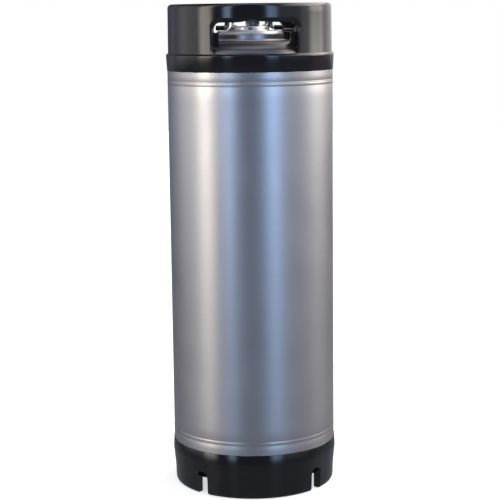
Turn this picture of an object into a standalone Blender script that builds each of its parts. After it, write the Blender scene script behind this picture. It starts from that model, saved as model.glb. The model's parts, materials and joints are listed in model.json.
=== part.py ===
"""A nineteen litre soda-type keg, modelled as an assembly of separate solids.

Metres, +Z up, origin on the floor under the middle of the tank. The gas post
stands at -X and the liquid post at +X, and the two hand holds face -Y and +Y.
"""

import math

import bmesh
import bpy
from mathutils import Matrix, Vector

# Overall sizes
KEG_HEIGHT = 0.6350
TANK_RADIUS = 0.10795
HANDLE_HEIGHT = 0.0850          # rim down to the lower edge of the handle ring
BOOT_HEIGHT = 0.0590            # floor up to the upper edge of the boot
GAP = 0.0003                    # clearance between pieces that touch
CUT = 0.0200                    # how far a through cut runs past its piece

# Sides of the faceted round pieces, multiples of four
LARGE_SIDES = 32
MEDIUM_SIDES = 16
SMALL_SIDES = 12
KNUCKLE_STEPS = 4
DOME_STEPS = 6

# Tank
TANK_WALL = 0.0010
HEAD_WALL = 0.0012
BARE_STEEL = 0.0135             # from a rubber edge to the weld seam
SEAM_LAP = 0.0080               # how far a head reaches inside the shell
KNUCKLE_RISE = 0.0060           # rubber edge up to where the knuckle starts
KNUCKLE_WIDTH = 0.0300
KNUCKLE_DEPTH = 0.0310
DOME_DEPTH = 0.0335
DOME_START = 0.0030             # boot edge down to where the dome starts

# Hatch and lid; the ovals are this much longer along Y on each side
OVAL_STRETCH = 0.0085
HATCH_BORE = 0.0398
HATCH_FLANGE_WIDTH = 0.0082
HATCH_FLANGE_THICKNESS = 0.0012
HATCH_NECK_WIDTH = 0.0045
HATCH_NECK_HEIGHT = 0.0129
LID_CLEARANCE = 0.0010
LID_WALL = 0.0015
LID_RING_RADIUS = 0.0029        # thickness of the lid's sealing ring
LID_CROWN = 0.0240              # half width of the raised middle
LID_CROWN_HEIGHT = 0.0188       # above the hatch ring's seat
LID_DISH_HEIGHT = 0.0134
LID_RIM_WIDTH = 0.0074          # how far the lid reaches under the hatch ring

# Bail
BAIL_WIRE = 0.0022
BAIL_PIVOT_HEIGHT = 0.0084      # above the lid's crown
BAIL_PIN = 0.0018
BAIL_ARM_X = 0.0283
BAIL_REACH = 0.0605             # from the pivot to the grip, along Y
FOOT_RADIUS = 0.0033
FOOT_WALL = 0.0011
FOOT_LENGTH = 0.0115
FOOT_OFFSET_Y = 0.0030
LUG_THICKNESS = 0.0025
LUG_HALF_WIDTH = 0.0065
LUG_INNER_X = 0.0205
LUG_FLARE = 0.0025
LUG_TAB_REACH = 0.0032
LUG_TAB_HALF_WIDTH = 0.0055
LUG_TAB_THICKNESS = 0.0015

# Relief valve
VALVE_X = 0.0040
VALVE_THREAD = 0.0065
VALVE_HEX = 0.0170              # across the flats
VALVE_NUT_HEX = 0.0190
VALVE_BARREL = 0.0072
VALVE_CHAMBER = 0.0052
VALVE_STEM = 0.0018
VALVE_INLET = 0.0030
VALVE_NUT_HEIGHT = 0.0055
VALVE_VENT = 0.0012
VALVE_BELOW_CROWN = 0.0141
VALVE_HEX_HEIGHT = 0.0072
VALVE_BARREL_HEIGHT = 0.0085
VALVE_FLOOR = 0.0025
VALVE_CEILING = 0.0017
VALVE_SEAL_THICKNESS = 0.0014
VALVE_DISC_THICKNESS = 0.0017
VALVE_SPRING_COIL = 0.0036
VALVE_SPRING_WIRE = 0.0005
GASKET_WIDTH = 0.0019
GASKET_THICKNESS = 0.0011
PULL_RING = 0.0085
PULL_RING_WIRE = 0.0008
PULL_RING_DROOP = math.radians(12)
EYE_RADIUS = 0.0030
EYE_THICKNESS = 0.0022
EYE_HOLE = 0.0015

# Posts
POST_WALL_BIAS = 0.0035         # how much nearer to the hatch than to the handle wall
SPUD_NECK = 0.0075
SPUD_NECK_HEIGHT = 0.0112
SPUD_BELOW = 0.0040
SPUD_FLANGE = 0.0105
SPUD_FLANGE_THICKNESS = 0.0019
SPUD_BORE = 0.0044
DIP_TUBE_RADIUS = 0.00395
DIP_TUBE_WALL = 0.00075
DIP_TUBE_FLANGE = 0.0072
DIP_TUBE_FLANGE_THICKNESS = 0.0010
DIP_RING = 0.0058
DIP_RING_WIRE = 0.0009
GAS_TUBE_DEPTH = 0.0420         # below the head's crown
BEND_START = 0.0740             # above the level where the bottom's dome starts
BEND_LEAD = 0.0100              # straight part on each side of that level
# Guides of the bend: share of the post's distance from the middle, height above the bottom
BEND_GUIDES = ((0.91, 0.0625), (0.64, 0.0295), (0.31, 0.0155))
TUBE_END_X = 0.0080
TUBE_END_RISE = 0.0110
POST_HEX = 0.0222               # across the flats
POST_HEX_HEIGHT = 0.0150
POST_BODY = 0.0087
POST_BODY_HEIGHT = 0.0217
POST_CHAMBER = 0.0062
POST_LIP = 0.0057
POST_LIP_HOLE = 0.0040
BALL_GROOVE_DEPTH = 0.0009
RING_GROOVE_DEPTH = 0.0014
POST_RING_WIRE = 0.0012
POST_RING_DROP = 0.0067         # groove's middle below the post's top
BALL_GROOVE_DROP = 0.0142
POPPET_FLANGE_THICKNESS = 0.0024
POPPET_NOSE = 0.0026
POPPET_GUIDE = 0.0020
POPPET_GUIDE_LENGTH = 0.0045
POPPET_DROP = 0.0007            # nose below the post's top
POPPET_SEAL = 0.0044
POPPET_SEAL_WIRE = 0.0007
POPPET_SPRING_COIL = 0.0040
POPPET_SPRING_WIRE = 0.0004

# Rubber handle ring and boot, measured from the tank's side
LIP_THICKNESS = 0.0006          # at the thin lower edge
LEDGE_OUT = 0.00165
GRIP_IN = 0.00155
GRIP_WALL = 0.0109
APRON_REACH = 0.0245
APRON_RISE = 0.0110             # above the crown
LEDGE_RISE = 0.0206             # ring's lower edge up to the ledge's rounded top
GRIP_DEPTH = 0.0215             # rim down to the top of the hand hold
SILL_RISE = 0.0228              # ring's lower edge up to the hand hold's sill
WINDOW_HALF_WIDTH = 0.0540
WINDOW_TOP_CORNER = 0.0090
WINDOW_BOTTOM_CORNER = 0.0050
RECESS_HALF_WIDTH = 0.0452
RECESS_INSET = 0.0275
POCKET_RADIUS = 0.0262
POCKET_HEIGHT = 0.0330          # above the crown
BOOT_WALL = 0.0111
BOOT_IN = 0.0013
BOOT_LEDGE_DROP = 0.0150        # boot's upper edge down to its widest part
BOOT_CREASE_DROP = 0.0400
BOOT_SHELF_Z = 0.0240
BOOT_SHELF_IN = 0.0280
NOTCH_WIDTH = 0.0186
NOTCH_HEIGHT = 0.0310
NOTCH_CORNER = 0.0060

# Levels and places that follow
LOWER_SEAM_Z = BOOT_HEIGHT + BARE_STEEL
HANDLE_EDGE_Z = KEG_HEIGHT - HANDLE_HEIGHT
UPPER_SEAM_Z = HANDLE_EDGE_Z - BARE_STEEL
KNUCKLE_Z = HANDLE_EDGE_Z + KNUCKLE_RISE
CROWN_Z = KNUCKLE_Z + KNUCKLE_DEPTH
CROWN_RADIUS = TANK_RADIUS - KNUCKLE_WIDTH
DOME_Z = BOOT_HEIGHT - DOME_START
SEAT_Z = CROWN_Z + GAP
HATCH_TOP_Z = SEAT_Z + HATCH_NECK_HEIGHT
HANDLE_INNER_RADIUS = TANK_RADIUS - GRIP_IN - GRIP_WALL
POST_X = (HATCH_BORE + HATCH_FLANGE_WIDTH + HANDLE_INNER_RADIUS - POST_WALL_BIAS) / 2
LID_RING_Z = CROWN_Z - HEAD_WALL - GAP - LID_RING_RADIUS
LID_CROWN_Z = SEAT_Z + LID_CROWN_HEIGHT
PIVOT_Z = LID_CROWN_Z + BAIL_PIVOT_HEIGHT
FOOT_Z = HATCH_TOP_Z + 0.0005 + FOOT_RADIUS
PARTS = "soda_keg"
TOOLS = "cutters"

FINISHES = {
    "stainless_steel": ((0.56, 0.56, 0.58), 1.0, 0.34),
    "polished_steel": ((0.62, 0.62, 0.64), 1.0, 0.16),
    "spring_steel": ((0.50, 0.50, 0.52), 1.0, 0.25),
    "black_rubber": ((0.012, 0.012, 0.014), 0.0, 0.42),
    "seal_rubber": ((0.008, 0.008, 0.008), 0.0, 0.55),
}


# Scene, materials and shapes

def clear_scene():
    for old in list(bpy.data.objects):
        bpy.data.objects.remove(old, do_unlink=True)


def collection(name):
    """The scene's collection of this name, made when it isn't there yet."""
    found = bpy.data.collections.get(name)
    if found is None:
        found = bpy.data.collections.new(name)
    if found.name not in bpy.context.scene.collection.children:
        bpy.context.scene.collection.children.link(found)
    return found


def material(name, finish):
    colour, metallic, roughness = FINISHES[finish]
    made = bpy.data.materials.new(f"{name}_{finish}")
    made.use_nodes = True
    shader = made.node_tree.nodes["Principled BSDF"]
    shader.inputs["Base Color"].default_value = (*colour, 1.0)
    shader.inputs["Metallic"].default_value = metallic
    shader.inputs["Roughness"].default_value = roughness
    return made


def add(name, data, finish):
    """A new object: a piece when it has a finish, a cutting or joining tool when not."""
    piece = bpy.data.objects.new(name, data)
    if finish is None:
        collection(TOOLS).objects.link(piece)
        piece.hide_render = True
        piece.display_type = "WIRE"
    else:
        collection(PARTS).objects.link(piece)
        data.materials.append(material(name, finish))
    return piece


def clockwise(outline):
    """The outline in the order that makes a turned shape face outwards."""
    following = outline[1:] + outline[:1]
    area = sum(a[0] * b[1] - b[0] * a[1] for a, b in zip(outline, following))
    return outline if area < 0 else outline[::-1]


def arc(centre, semi_x, semi_z, start, end, steps):
    """Points on an elliptical arc, angles in degrees from +X."""
    angles = [math.radians(start + (end - start) * i / steps) for i in range(steps + 1)]
    return [(centre[0] + semi_x * math.cos(a), centre[1] + semi_z * math.sin(a)) for a in angles]


def turned(name, outline, finish=None, sides=MEDIUM_SIDES, centre=(0, 0, 0)):
    """A profile of (radius, height) points spun about Z, open only where it meets the axis."""
    points = clockwise(outline)
    count = len(points)
    closed = min(radius for radius, _ in points) > 0.00001
    edges = [(i, (i + 1) % count) for i in range(count if closed else count - 1)]
    mesh = bpy.data.meshes.new(name)
    mesh.from_pydata([(radius, 0, height) for radius, height in points], edges, [])
    piece = add(name, mesh, finish)
    piece.location = centre
    screw = piece.modifiers.new("turn", "SCREW")
    screw.axis = "Z"
    screw.angle = math.tau
    screw.steps = sides
    screw.render_steps = sides
    screw.use_merge_vertices = True
    screw.merge_threshold = 0.00001
    return piece


def oval_turned(name, outline, finish=None):
    """A profile spun about Z and stretched along Y; an open profile gets flat caps."""
    bm = bmesh.new()
    closed = outline[0] == outline[-1]
    points = outline[:-1] if closed else outline
    ring = [bm.verts.new((radius, 0, height)) for radius, height in points]
    pairs = zip(ring, ring[1:] + ring[:1]) if closed else zip(ring, ring[1:])
    edges = [bm.edges.new(pair) for pair in pairs]
    bmesh.ops.spin(bm, geom=ring + edges, axis=(0, 0, 1), angle=math.tau, steps=LARGE_SIDES)
    bmesh.ops.remove_doubles(bm, verts=bm.verts[:], dist=0.00001)
    rims = [edge for edge in bm.edges if edge.is_boundary]
    if rims:
        bmesh.ops.holes_fill(bm, edges=rims)
    for vert in bm.verts:
        vert.co.y += OVAL_STRETCH * vert.co.y / math.hypot(vert.co.x, vert.co.y)
    bmesh.ops.recalc_face_normals(bm, faces=bm.faces[:])
    mesh = bpy.data.meshes.new(name)
    bm.to_mesh(mesh)
    bm.free()
    return add(name, mesh, finish)


def sealing_ring(name, major, minor, finish="seal_rubber", centre=(0, 0, 0)):
    outline = arc((major, 0), minor, minor, 0, 360, 6)[:-1]
    return turned(name, outline, finish, MEDIUM_SIDES, centre)


def hexagon(name, across_flats, low, high, centre, finish=None):
    bm = bmesh.new()
    corner = across_flats / math.sqrt(3)
    middle = Matrix.Translation((centre[0], centre[1], (low + high) / 2))
    bmesh.ops.create_cone(
        bm, cap_ends=True, segments=6, radius1=corner, radius2=corner, depth=high - low,
        matrix=middle)
    mesh = bpy.data.meshes.new(name)
    bm.to_mesh(mesh)
    bm.free()
    return add(name, mesh, finish)


def rod(name, start, end, radius, finish=None, sides=SMALL_SIDES):
    """A straight solid rod between two points."""
    bm = bmesh.new()
    along = Vector(end) - Vector(start)
    turn = along.to_track_quat("Z", "Y").to_matrix().to_4x4()
    middle = Matrix.Translation((Vector(start) + Vector(end)) / 2)
    bmesh.ops.create_cone(
        bm, cap_ends=True, segments=sides, radius1=radius, radius2=radius,
        depth=along.length, matrix=middle @ turn)
    mesh = bpy.data.meshes.new(name)
    bm.to_mesh(mesh)
    bm.free()
    return add(name, mesh, finish)


def block(name, low, high, finish=None):
    bm = bmesh.new()
    low, high = Vector(low), Vector(high)
    size = Matrix.Diagonal((high - low).to_4d())
    size[3][3] = 1.0
    bmesh.ops.create_cube(bm, size=1.0, matrix=Matrix.Translation((low + high) / 2) @ size)
    mesh = bpy.data.meshes.new(name)
    bm.to_mesh(mesh)
    bm.free()
    return add(name, mesh, finish)


def curve_to_mesh(name, curve, finish, matrix):
    """The solid that a curve draws, with its loose caps welded on."""
    drawn = bpy.data.objects.new(f"{name}_curve", curve)
    collection(TOOLS).objects.link(drawn)
    drawn.matrix_world = matrix
    graph = bpy.context.evaluated_depsgraph_get()
    mesh = bpy.data.meshes.new_from_object(drawn.evaluated_get(graph))
    bpy.data.objects.remove(drawn)
    bm = bmesh.new()
    bm.from_mesh(mesh)
    bmesh.ops.remove_doubles(bm, verts=bm.verts[:], dist=0.00001)
    bmesh.ops.recalc_face_normals(bm, faces=bm.faces[:])
    bm.to_mesh(mesh)
    bm.free()
    mesh.name = name
    mesh.materials.clear()
    piece = add(name, mesh, finish)
    piece.matrix_world = matrix
    return piece


def prism(name, outline, thickness, matrix, finish=None):
    """A flat outline in the local XY plane, thickened evenly both ways along local Z."""
    curve = bpy.data.curves.new(name, "CURVE")
    curve.dimensions = "2D"
    curve.fill_mode = "BOTH"
    curve.extrude = thickness / 2
    spline = curve.splines.new("POLY")
    spline.points.add(len(outline) - 1)
    for point, (x, y) in zip(spline.points, outline):
        point.co = (x, y, 0, 1)
    spline.use_cyclic_u = True
    return curve_to_mesh(name, curve, finish, matrix)


def swept(name, points, radius, finish=None, caps=True, sides=8):
    """A round wire along a line of points."""
    curve = bpy.data.curves.new(name, "CURVE")
    curve.dimensions = "3D"
    curve.bevel_depth = radius
    curve.bevel_resolution = (sides - 4) // 2
    curve.use_fill_caps = caps
    spline = curve.splines.new("POLY")
    spline.points.add(len(points) - 1)
    for point, place in zip(spline.points, points):
        point.co = (*place, 1)
    return curve_to_mesh(name, curve, finish, Matrix.Identity(4))


def smooth_path(guides, steps):
    """A smooth line through guide points, heading at each along its two neighbours."""
    guides = [Vector(guide) for guide in guides]
    headings = [(after - before).normalized()
                for before, after in zip(guides[:1] + guides[:-1], guides[1:] + guides[-1:])]
    path = []
    for here, there, leaving, arriving in zip(guides, guides[1:], headings, headings[1:]):
        length = (there - here).length
        for i in range(steps):
            t = i / steps
            path.append((1 + 2 * t) * (1 - t) ** 2 * here + t * (1 - t) ** 2 * length * leaving
                        + t * t * (3 - 2 * t) * there - t * t * (1 - t) * length * arriving)
    return path + [guides[-1]]


def coil_spring(name, centre, coil, wire, low, high, turns):
    """A compression spring whose end turns lie nearly flat."""
    per_turn = 8
    count = turns * per_turn
    points = []
    for i in range(count + 1):
        share = i / count
        eased = share - math.sin(math.tau * share) / math.tau
        rise = 0.5 * (share + eased)
        angle = math.tau * i / per_turn
        points.append((centre[0] + coil * math.cos(angle), centre[1] + coil * math.sin(angle),
                       low + (high - low) * rise))
    return swept(name, points, wire, "spring_steel")


def rounded_outline(corners, steps=4):
    """An outline of (x, y, corner radius) points for right-angled corners, as plain points."""
    outline = []
    count = len(corners)
    for i, (x, y, radius) in enumerate(corners):
        here = Vector((x, y))
        to_last = (Vector(corners[i - 1][:2]) - here).normalized()
        to_next = (Vector(corners[(i + 1) % count][:2]) - here).normalized()
        if radius == 0:
            outline.append((x, y))
            continue
        middle = here + (to_last + to_next) * radius
        for k in range(steps + 1):
            turn = math.radians(90 * k / steps)
            point = middle - to_next * radius * math.cos(turn) - to_last * radius * math.sin(turn)
            outline.append(tuple(point))
    return outline


def combine(piece, tool, operation):
    boolean = piece.modifiers.new(tool.name, "BOOLEAN")
    boolean.operation = operation
    boolean.solver = "EXACT"
    boolean.object = tool


def cut(piece, *tools):
    for tool in tools:
        combine(piece, tool, "DIFFERENCE")


def join(piece, *tools):
    for tool in tools:
        combine(piece, tool, "UNION")


def facing_y(place):
    """Local X stays, local Y points up and local Z points along -Y."""
    return Matrix.Translation(place) @ Matrix.Rotation(math.pi / 2, 4, "X")


# Tank

def knuckle(grow, start, end, steps=KNUCKLE_STEPS):
    """The rounded shoulder of the top head, moved outwards by grow."""
    return arc((CROWN_RADIUS, KNUCKLE_Z), KNUCKLE_WIDTH + grow, KNUCKLE_DEPTH + grow,
               start, end, steps)


def dome(grow, start, end, steps=DOME_STEPS):
    """The dished bottom, moved outwards by grow."""
    return arc((0, DOME_Z), TANK_RADIUS + grow, DOME_DEPTH + grow, start, end, steps)


def tank_shell():
    inside = TANK_RADIUS - TANK_WALL
    turned("tank_shell", [
        (TANK_RADIUS, UPPER_SEAM_Z), (TANK_RADIUS, LOWER_SEAM_Z),
        (inside, LOWER_SEAM_Z), (inside, UPPER_SEAM_Z)], "stainless_steel", LARGE_SIDES)


def joggle(seam, away):
    """A head's stepped edge: away is +1 for the head above its seam, -1 below."""
    lapped = TANK_RADIUS - TANK_WALL - GAP
    return [
        (TANK_RADIUS, seam + away * GAP), (lapped, seam + away * GAP),
        (lapped, seam - away * SEAM_LAP), (lapped - HEAD_WALL, seam - away * SEAM_LAP),
        (lapped - HEAD_WALL, seam + away * GAP), (TANK_RADIUS - HEAD_WALL, seam + away * 0.003)]


def top_head():
    head = turned("top_head", [
        (0, CROWN_Z), *knuckle(0, 90, 0), *joggle(UPPER_SEAM_Z, 1),
        *knuckle(-HEAD_WALL, 0, 90), (0, CROWN_Z - HEAD_WALL)], "stainless_steel", LARGE_SIDES)
    low, high = CROWN_Z - CUT, CROWN_Z + CUT
    cut(head, oval_turned("hatch_hole", [(HATCH_BORE, high), (HATCH_BORE, low)]))
    for side, word in ((-1, "gas"), (1, "liquid")):
        cut(head, rod(f"{word}_spud_hole", (side * POST_X, 0, low), (side * POST_X, 0, high),
                      SPUD_NECK + GAP, sides=MEDIUM_SIDES))


def bottom_head():
    turned("bottom_head", [
        *dome(0, -90, 0), *joggle(LOWER_SEAM_Z, -1), *dome(-HEAD_WALL, 0, -90)],
        "stainless_steel", LARGE_SIDES)


def hatch_ring():
    flange = HATCH_BORE + HATCH_FLANGE_WIDTH
    neck = HATCH_BORE + HATCH_NECK_WIDTH
    flange_top = SEAT_Z + HATCH_FLANGE_THICKNESS
    start = (HATCH_BORE, SEAT_Z)
    oval_turned("hatch_ring", [
        start, (flange, SEAT_Z), (flange, flange_top), (neck + 0.0009, flange_top),
        (neck, flange_top + 0.0012), *arc((neck - 0.0030, HATCH_TOP_Z - 0.0045),
                                          0.0030, 0.0045, 0, 90, 3),
        (HATCH_BORE + 0.0007, HATCH_TOP_Z), (HATCH_BORE, HATCH_TOP_Z - 0.0009), start],
        "stainless_steel")


# Lid, with its bail and its relief valve

def lid():
    wall = HATCH_BORE - LID_CLEARANCE
    inside = wall - LID_WALL
    shelf_z = LID_RING_Z - LID_RING_RADIUS - GAP
    dish_z = SEAT_Z + LID_DISH_HEIGHT
    rim = HATCH_BORE + LID_RIM_WIDTH
    cover = oval_turned("lid", [
        (LID_CROWN, LID_CROWN_Z), (LID_CROWN + 0.0007, LID_CROWN_Z - 0.0005),
        (LID_CROWN + 0.0016, dish_z + 0.0009), (LID_CROWN + 0.0025, dish_z),
        (wall - 0.0033, dish_z - LID_WALL), (wall - 0.0008, dish_z - 0.0027),
        (wall, dish_z - 0.0047), (wall, shelf_z + 0.0016), (wall + 0.0008, shelf_z),
        (rim - 0.0014, shelf_z), (rim - 0.0009, shelf_z + 0.0018), (rim, shelf_z + 0.0018),
        (rim, shelf_z - 0.0004), (rim - 0.0010, shelf_z - LID_WALL),
        (wall + 0.0002, shelf_z - LID_WALL), (inside, shelf_z + 0.0001),
        (inside, dish_z - 0.0052), (inside - 0.0005, dish_z - 0.0039),
        (wall - 0.0038, dish_z - 0.0030), (LID_CROWN + 0.0023, dish_z - LID_WALL),
        (LID_CROWN + 0.0002, dish_z - 0.0007), (LID_CROWN - 0.0006, LID_CROWN_Z - 0.0020),
        (LID_CROWN - 0.0015, LID_CROWN_Z - LID_WALL)], "stainless_steel")
    cut(cover, rod("valve_hole", (VALVE_X, 0, LID_CROWN_Z - CUT), (VALVE_X, 0, LID_CROWN_Z + CUT),
                   VALVE_THREAD + GAP, sides=MEDIUM_SIDES))


def lid_oring():
    middle = HATCH_BORE - LID_CLEARANCE + LID_RING_RADIUS + 0.0005
    section = arc((middle, LID_RING_Z), LID_RING_RADIUS, LID_RING_RADIUS, 0, 360, 8)
    oval_turned("lid_oring", section[:-1] + section[:1], "seal_rubber")


def bail_lugs():
    """Two ears on the crown, each an L with its foot turned inwards."""
    base_z = LID_CROWN_Z + GAP
    height = PIVOT_Z - base_z
    flare = LUG_HALF_WIDTH + LUG_FLARE
    ear = [(-flare, 0), (flare, 0), (flare, 0.0012), (LUG_HALF_WIDTH, 0.0030),
           *arc((0, height), LUG_HALF_WIDTH, LUG_HALF_WIDTH, 0, 180, 8),
           (-LUG_HALF_WIDTH, 0.0030), (-flare, 0.0012)]
    across = Matrix(((0, 0, 1, 0), (1, 0, 0, 0), (0, 1, 0, 0), (0, 0, 0, 1)))
    for side, word in ((-1, "left"), (1, "right")):
        middle_x = side * (LUG_INNER_X + LUG_THICKNESS / 2)
        name = f"bail_lug_{word}"
        place = Matrix.Translation((middle_x, 0, base_z)) @ across
        lug = prism(name, ear, LUG_THICKNESS, place, "stainless_steel")
        tab_ends = sorted((side * (LUG_INNER_X - LUG_TAB_REACH), middle_x))
        join(lug, block(f"{name}_tab", (tab_ends[0], -LUG_TAB_HALF_WIDTH, base_z),
                        (tab_ends[1], LUG_TAB_HALF_WIDTH, base_z + LUG_TAB_THICKNESS)))
        cut(lug, rod(f"{name}_hole", (middle_x - CUT / 2, 0, PIVOT_Z),
                     (middle_x + CUT / 2, 0, PIVOT_Z), BAIL_PIN + GAP))


def bail():
    """One bent wire from foot to foot, with the two pins that it turns on."""
    foot_x = HATCH_BORE + 0.0027
    grip_z = HATCH_TOP_Z + 0.0006
    half = [
        (foot_x, FOOT_OFFSET_Y, FOOT_Z), (BAIL_ARM_X + 0.0040, FOOT_OFFSET_Y, FOOT_Z),
        (BAIL_ARM_X + 0.0009, 0.0028, FOOT_Z + 0.0011), (BAIL_ARM_X, 0.0016, FOOT_Z + 0.0045),
        (BAIL_ARM_X, 0, PIVOT_Z), (BAIL_ARM_X, 0.0012, PIVOT_Z + 0.0028),
        (BAIL_ARM_X, 0.0040, PIVOT_Z + 0.0040), (BAIL_ARM_X, 0.0085, PIVOT_Z + 0.0034),
        (BAIL_ARM_X, 0.0200, PIVOT_Z - 0.0008),
        (BAIL_ARM_X, BAIL_REACH - 0.0175, grip_z + 0.0032),
        (BAIL_ARM_X, BAIL_REACH - 0.0060, grip_z + 0.0007),
        (BAIL_ARM_X - 0.0060, BAIL_REACH, grip_z)]
    whole = half + [(-x, y, z) for x, y, z in reversed(half)]
    wire = swept("bail", smooth_path(whole, 2), BAIL_WIRE, "stainless_steel")
    for side, word in ((-1, "left"), (1, "right")):
        join(wire, rod(f"bail_pin_{word}", (side * (LUG_INNER_X - 0.0015), 0, PIVOT_Z),
                       (side * (BAIL_ARM_X + 0.0004), 0, PIVOT_Z), BAIL_PIN))


def bail_feet():
    """Rubber caps on the wire's ends, which press on the hatch ring."""
    bore = BAIL_WIRE + GAP
    end = FOOT_LENGTH
    outline = [(0, end), (FOOT_RADIUS - 0.0012, end), (FOOT_RADIUS, end - 0.0012),
               (FOOT_RADIUS, 0), (bore, 0), (bore, end - FOOT_WALL), (0, end - FOOT_WALL)]
    for side, word in ((-1, "left"), (1, "right")):
        start_x = side * (HATCH_BORE + 0.0042 - FOOT_LENGTH)
        foot = turned(f"bail_foot_{word}", outline, "black_rubber", MEDIUM_SIDES,
                      (start_x, FOOT_OFFSET_Y, FOOT_Z))
        foot.rotation_euler = (0, side * math.pi / 2, 0)


def relief_valve_levels():
    """Heights of the relief valve's features, from the bottom of its thread upwards."""
    low = LID_CROWN_Z - VALVE_BELOW_CROWN
    hex_low = LID_CROWN_Z + GASKET_THICKNESS + 2 * GAP
    hex_high = hex_low + VALVE_HEX_HEIGHT
    top = hex_high + VALVE_BARREL_HEIGHT
    seal_low = low + VALVE_FLOOR + GAP
    disc_low = seal_low + VALVE_SEAL_THICKNESS + GAP
    disc_high = disc_low + VALVE_DISC_THICKNESS
    return low, hex_low, hex_high, top, seal_low, disc_low, disc_high, top - VALVE_CEILING


def relief_valve_body():
    low, hex_low, hex_high, top, _, _, _, ceiling = relief_valve_levels()
    centre = (VALVE_X, 0, 0)
    body = turned("relief_valve_body", [
        (0, low), (VALVE_THREAD, low), (VALVE_THREAD, hex_high - 0.001),
        (VALVE_BARREL, hex_high - 0.001), (VALVE_BARREL, top - 0.0006),
        (VALVE_BARREL - 0.0006, top), (0, top)], "polished_steel", MEDIUM_SIDES, centre)
    join(body, hexagon("valve_hex", VALVE_HEX, hex_low, hex_high, centre))
    chamber = VALVE_CHAMBER
    floor = low + VALVE_FLOOR
    cut(body, turned("valve_bore", [
        (0, low - CUT), (VALVE_INLET, low - CUT), (VALVE_INLET, floor), (chamber, floor),
        (chamber, ceiling), (VALVE_STEM + 2 * GAP, ceiling), (VALVE_STEM + 2 * GAP, top + CUT),
        (0, top + CUT)], sides=MEDIUM_SIDES, centre=centre))
    vent_z = (hex_high + ceiling) / 2 + 0.001
    reach = VALVE_BARREL + 0.003
    for number, turn in enumerate((0.5, 0.5 + MEDIUM_SIDES / 4)):
        angle = math.tau * turn / MEDIUM_SIDES
        x, y = reach * math.cos(angle), reach * math.sin(angle)
        cut(body, rod(f"valve_vent_{number}", (VALVE_X - x, -y, vent_z), (VALVE_X + x, y, vent_z),
                      VALVE_VENT))


def relief_valve_fixings():
    nut_high = LID_CROWN_Z - LID_WALL - 2 * GAP
    nut_low = nut_high - VALVE_NUT_HEIGHT
    nut = hexagon("relief_valve_nut", VALVE_NUT_HEX, nut_low, nut_high, (VALVE_X, 0),
                  "polished_steel")
    cut(nut, rod("nut_thread", (VALVE_X, 0, nut_low - CUT), (VALVE_X, 0, nut_high + CUT),
                 VALVE_THREAD + GAP, sides=MEDIUM_SIDES))
    inner = VALVE_THREAD + GAP
    low = LID_CROWN_Z + GAP
    turned("relief_valve_gasket", [
        (inner, low), (inner + GASKET_WIDTH, low), (inner + GASKET_WIDTH, low + GASKET_THICKNESS),
        (inner, low + GASKET_THICKNESS)], "seal_rubber", MEDIUM_SIDES, (VALVE_X, 0, 0))


def relief_valve_insides():
    *_, seal_low, disc_low, disc_high, ceiling = relief_valve_levels()
    eye_z = relief_eye_height()
    disc = VALVE_CHAMBER - 2 * GAP
    centre = (VALVE_X, 0, 0)
    stem = turned("relief_valve_stem", [
        (0, disc_low), (disc, disc_low), (disc, disc_high), (VALVE_STEM, disc_high),
        (VALVE_STEM, eye_z - 0.0018), (0, eye_z - 0.0018)], "polished_steel", SMALL_SIDES, centre)
    half = EYE_THICKNESS / 2
    join(stem, rod("stem_eye", (VALVE_X, -half, eye_z), (VALVE_X, half, eye_z), EYE_RADIUS,
                   sides=16))
    cut(stem, rod("stem_eye_hole", (VALVE_X, -CUT, eye_z), (VALVE_X, CUT, eye_z), EYE_HOLE))
    seal = disc - 0.0002
    turned("relief_valve_seal", [
        (0, seal_low), (seal, seal_low), (seal, seal_low + VALVE_SEAL_THICKNESS),
        (0, seal_low + VALVE_SEAL_THICKNESS)], "seal_rubber", MEDIUM_SIDES, centre)
    margin = GAP + VALVE_SPRING_WIRE
    coil_spring("relief_valve_spring", centre, VALVE_SPRING_COIL, VALVE_SPRING_WIRE,
                disc_high + margin, ceiling - margin, 6)


def relief_eye_height():
    return relief_valve_levels()[3] + GAP + EYE_RADIUS


def relief_valve_pull_ring():
    """A split ring through the stem's eye, its far side hanging low towards +X."""
    outline = arc((PULL_RING, 0), PULL_RING_WIRE, PULL_RING_WIRE, 0, 360, 6)[:-1]
    ring = turned("relief_valve_pull_ring", outline, "polished_steel", MEDIUM_SIDES)
    eye = Matrix.Translation((VALVE_X, 0, relief_eye_height()))
    droop = Matrix.Rotation(PULL_RING_DROOP, 4, "Y")
    ring.matrix_world = eye @ droop @ Matrix.Translation((PULL_RING, 0, 0))


# Posts

def post_levels():
    """Heights of a post: spud top, dip tube flange, hex, body and chamber."""
    flange_top = SEAT_Z + SPUD_FLANGE_THICKNESS
    spud_top = SEAT_Z + SPUD_NECK_HEIGHT
    tube_low = spud_top + 2 * GAP + 2 * DIP_RING_WIRE
    tube_high = tube_low + DIP_TUBE_FLANGE_THICKNESS
    hex_low = flange_top + GAP
    hex_high = hex_low + POST_HEX_HEIGHT
    top = hex_high + POST_BODY_HEIGHT
    return spud_top, tube_low, tube_high, hex_low, hex_high, top, top - POST_LIP


def spud(word, x):
    spud_top = post_levels()[0]
    low = CROWN_Z - SPUD_BELOW
    flange_top = SEAT_Z + SPUD_FLANGE_THICKNESS
    turned(f"{word}_spud", [
        (SPUD_BORE, low), (SPUD_NECK, low), (SPUD_NECK, SEAT_Z), (SPUD_FLANGE, SEAT_Z),
        (SPUD_FLANGE, flange_top), (SPUD_NECK, flange_top), (SPUD_NECK, spud_top),
        (SPUD_BORE, spud_top)], "stainless_steel", MEDIUM_SIDES, (x, 0, 0))


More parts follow.
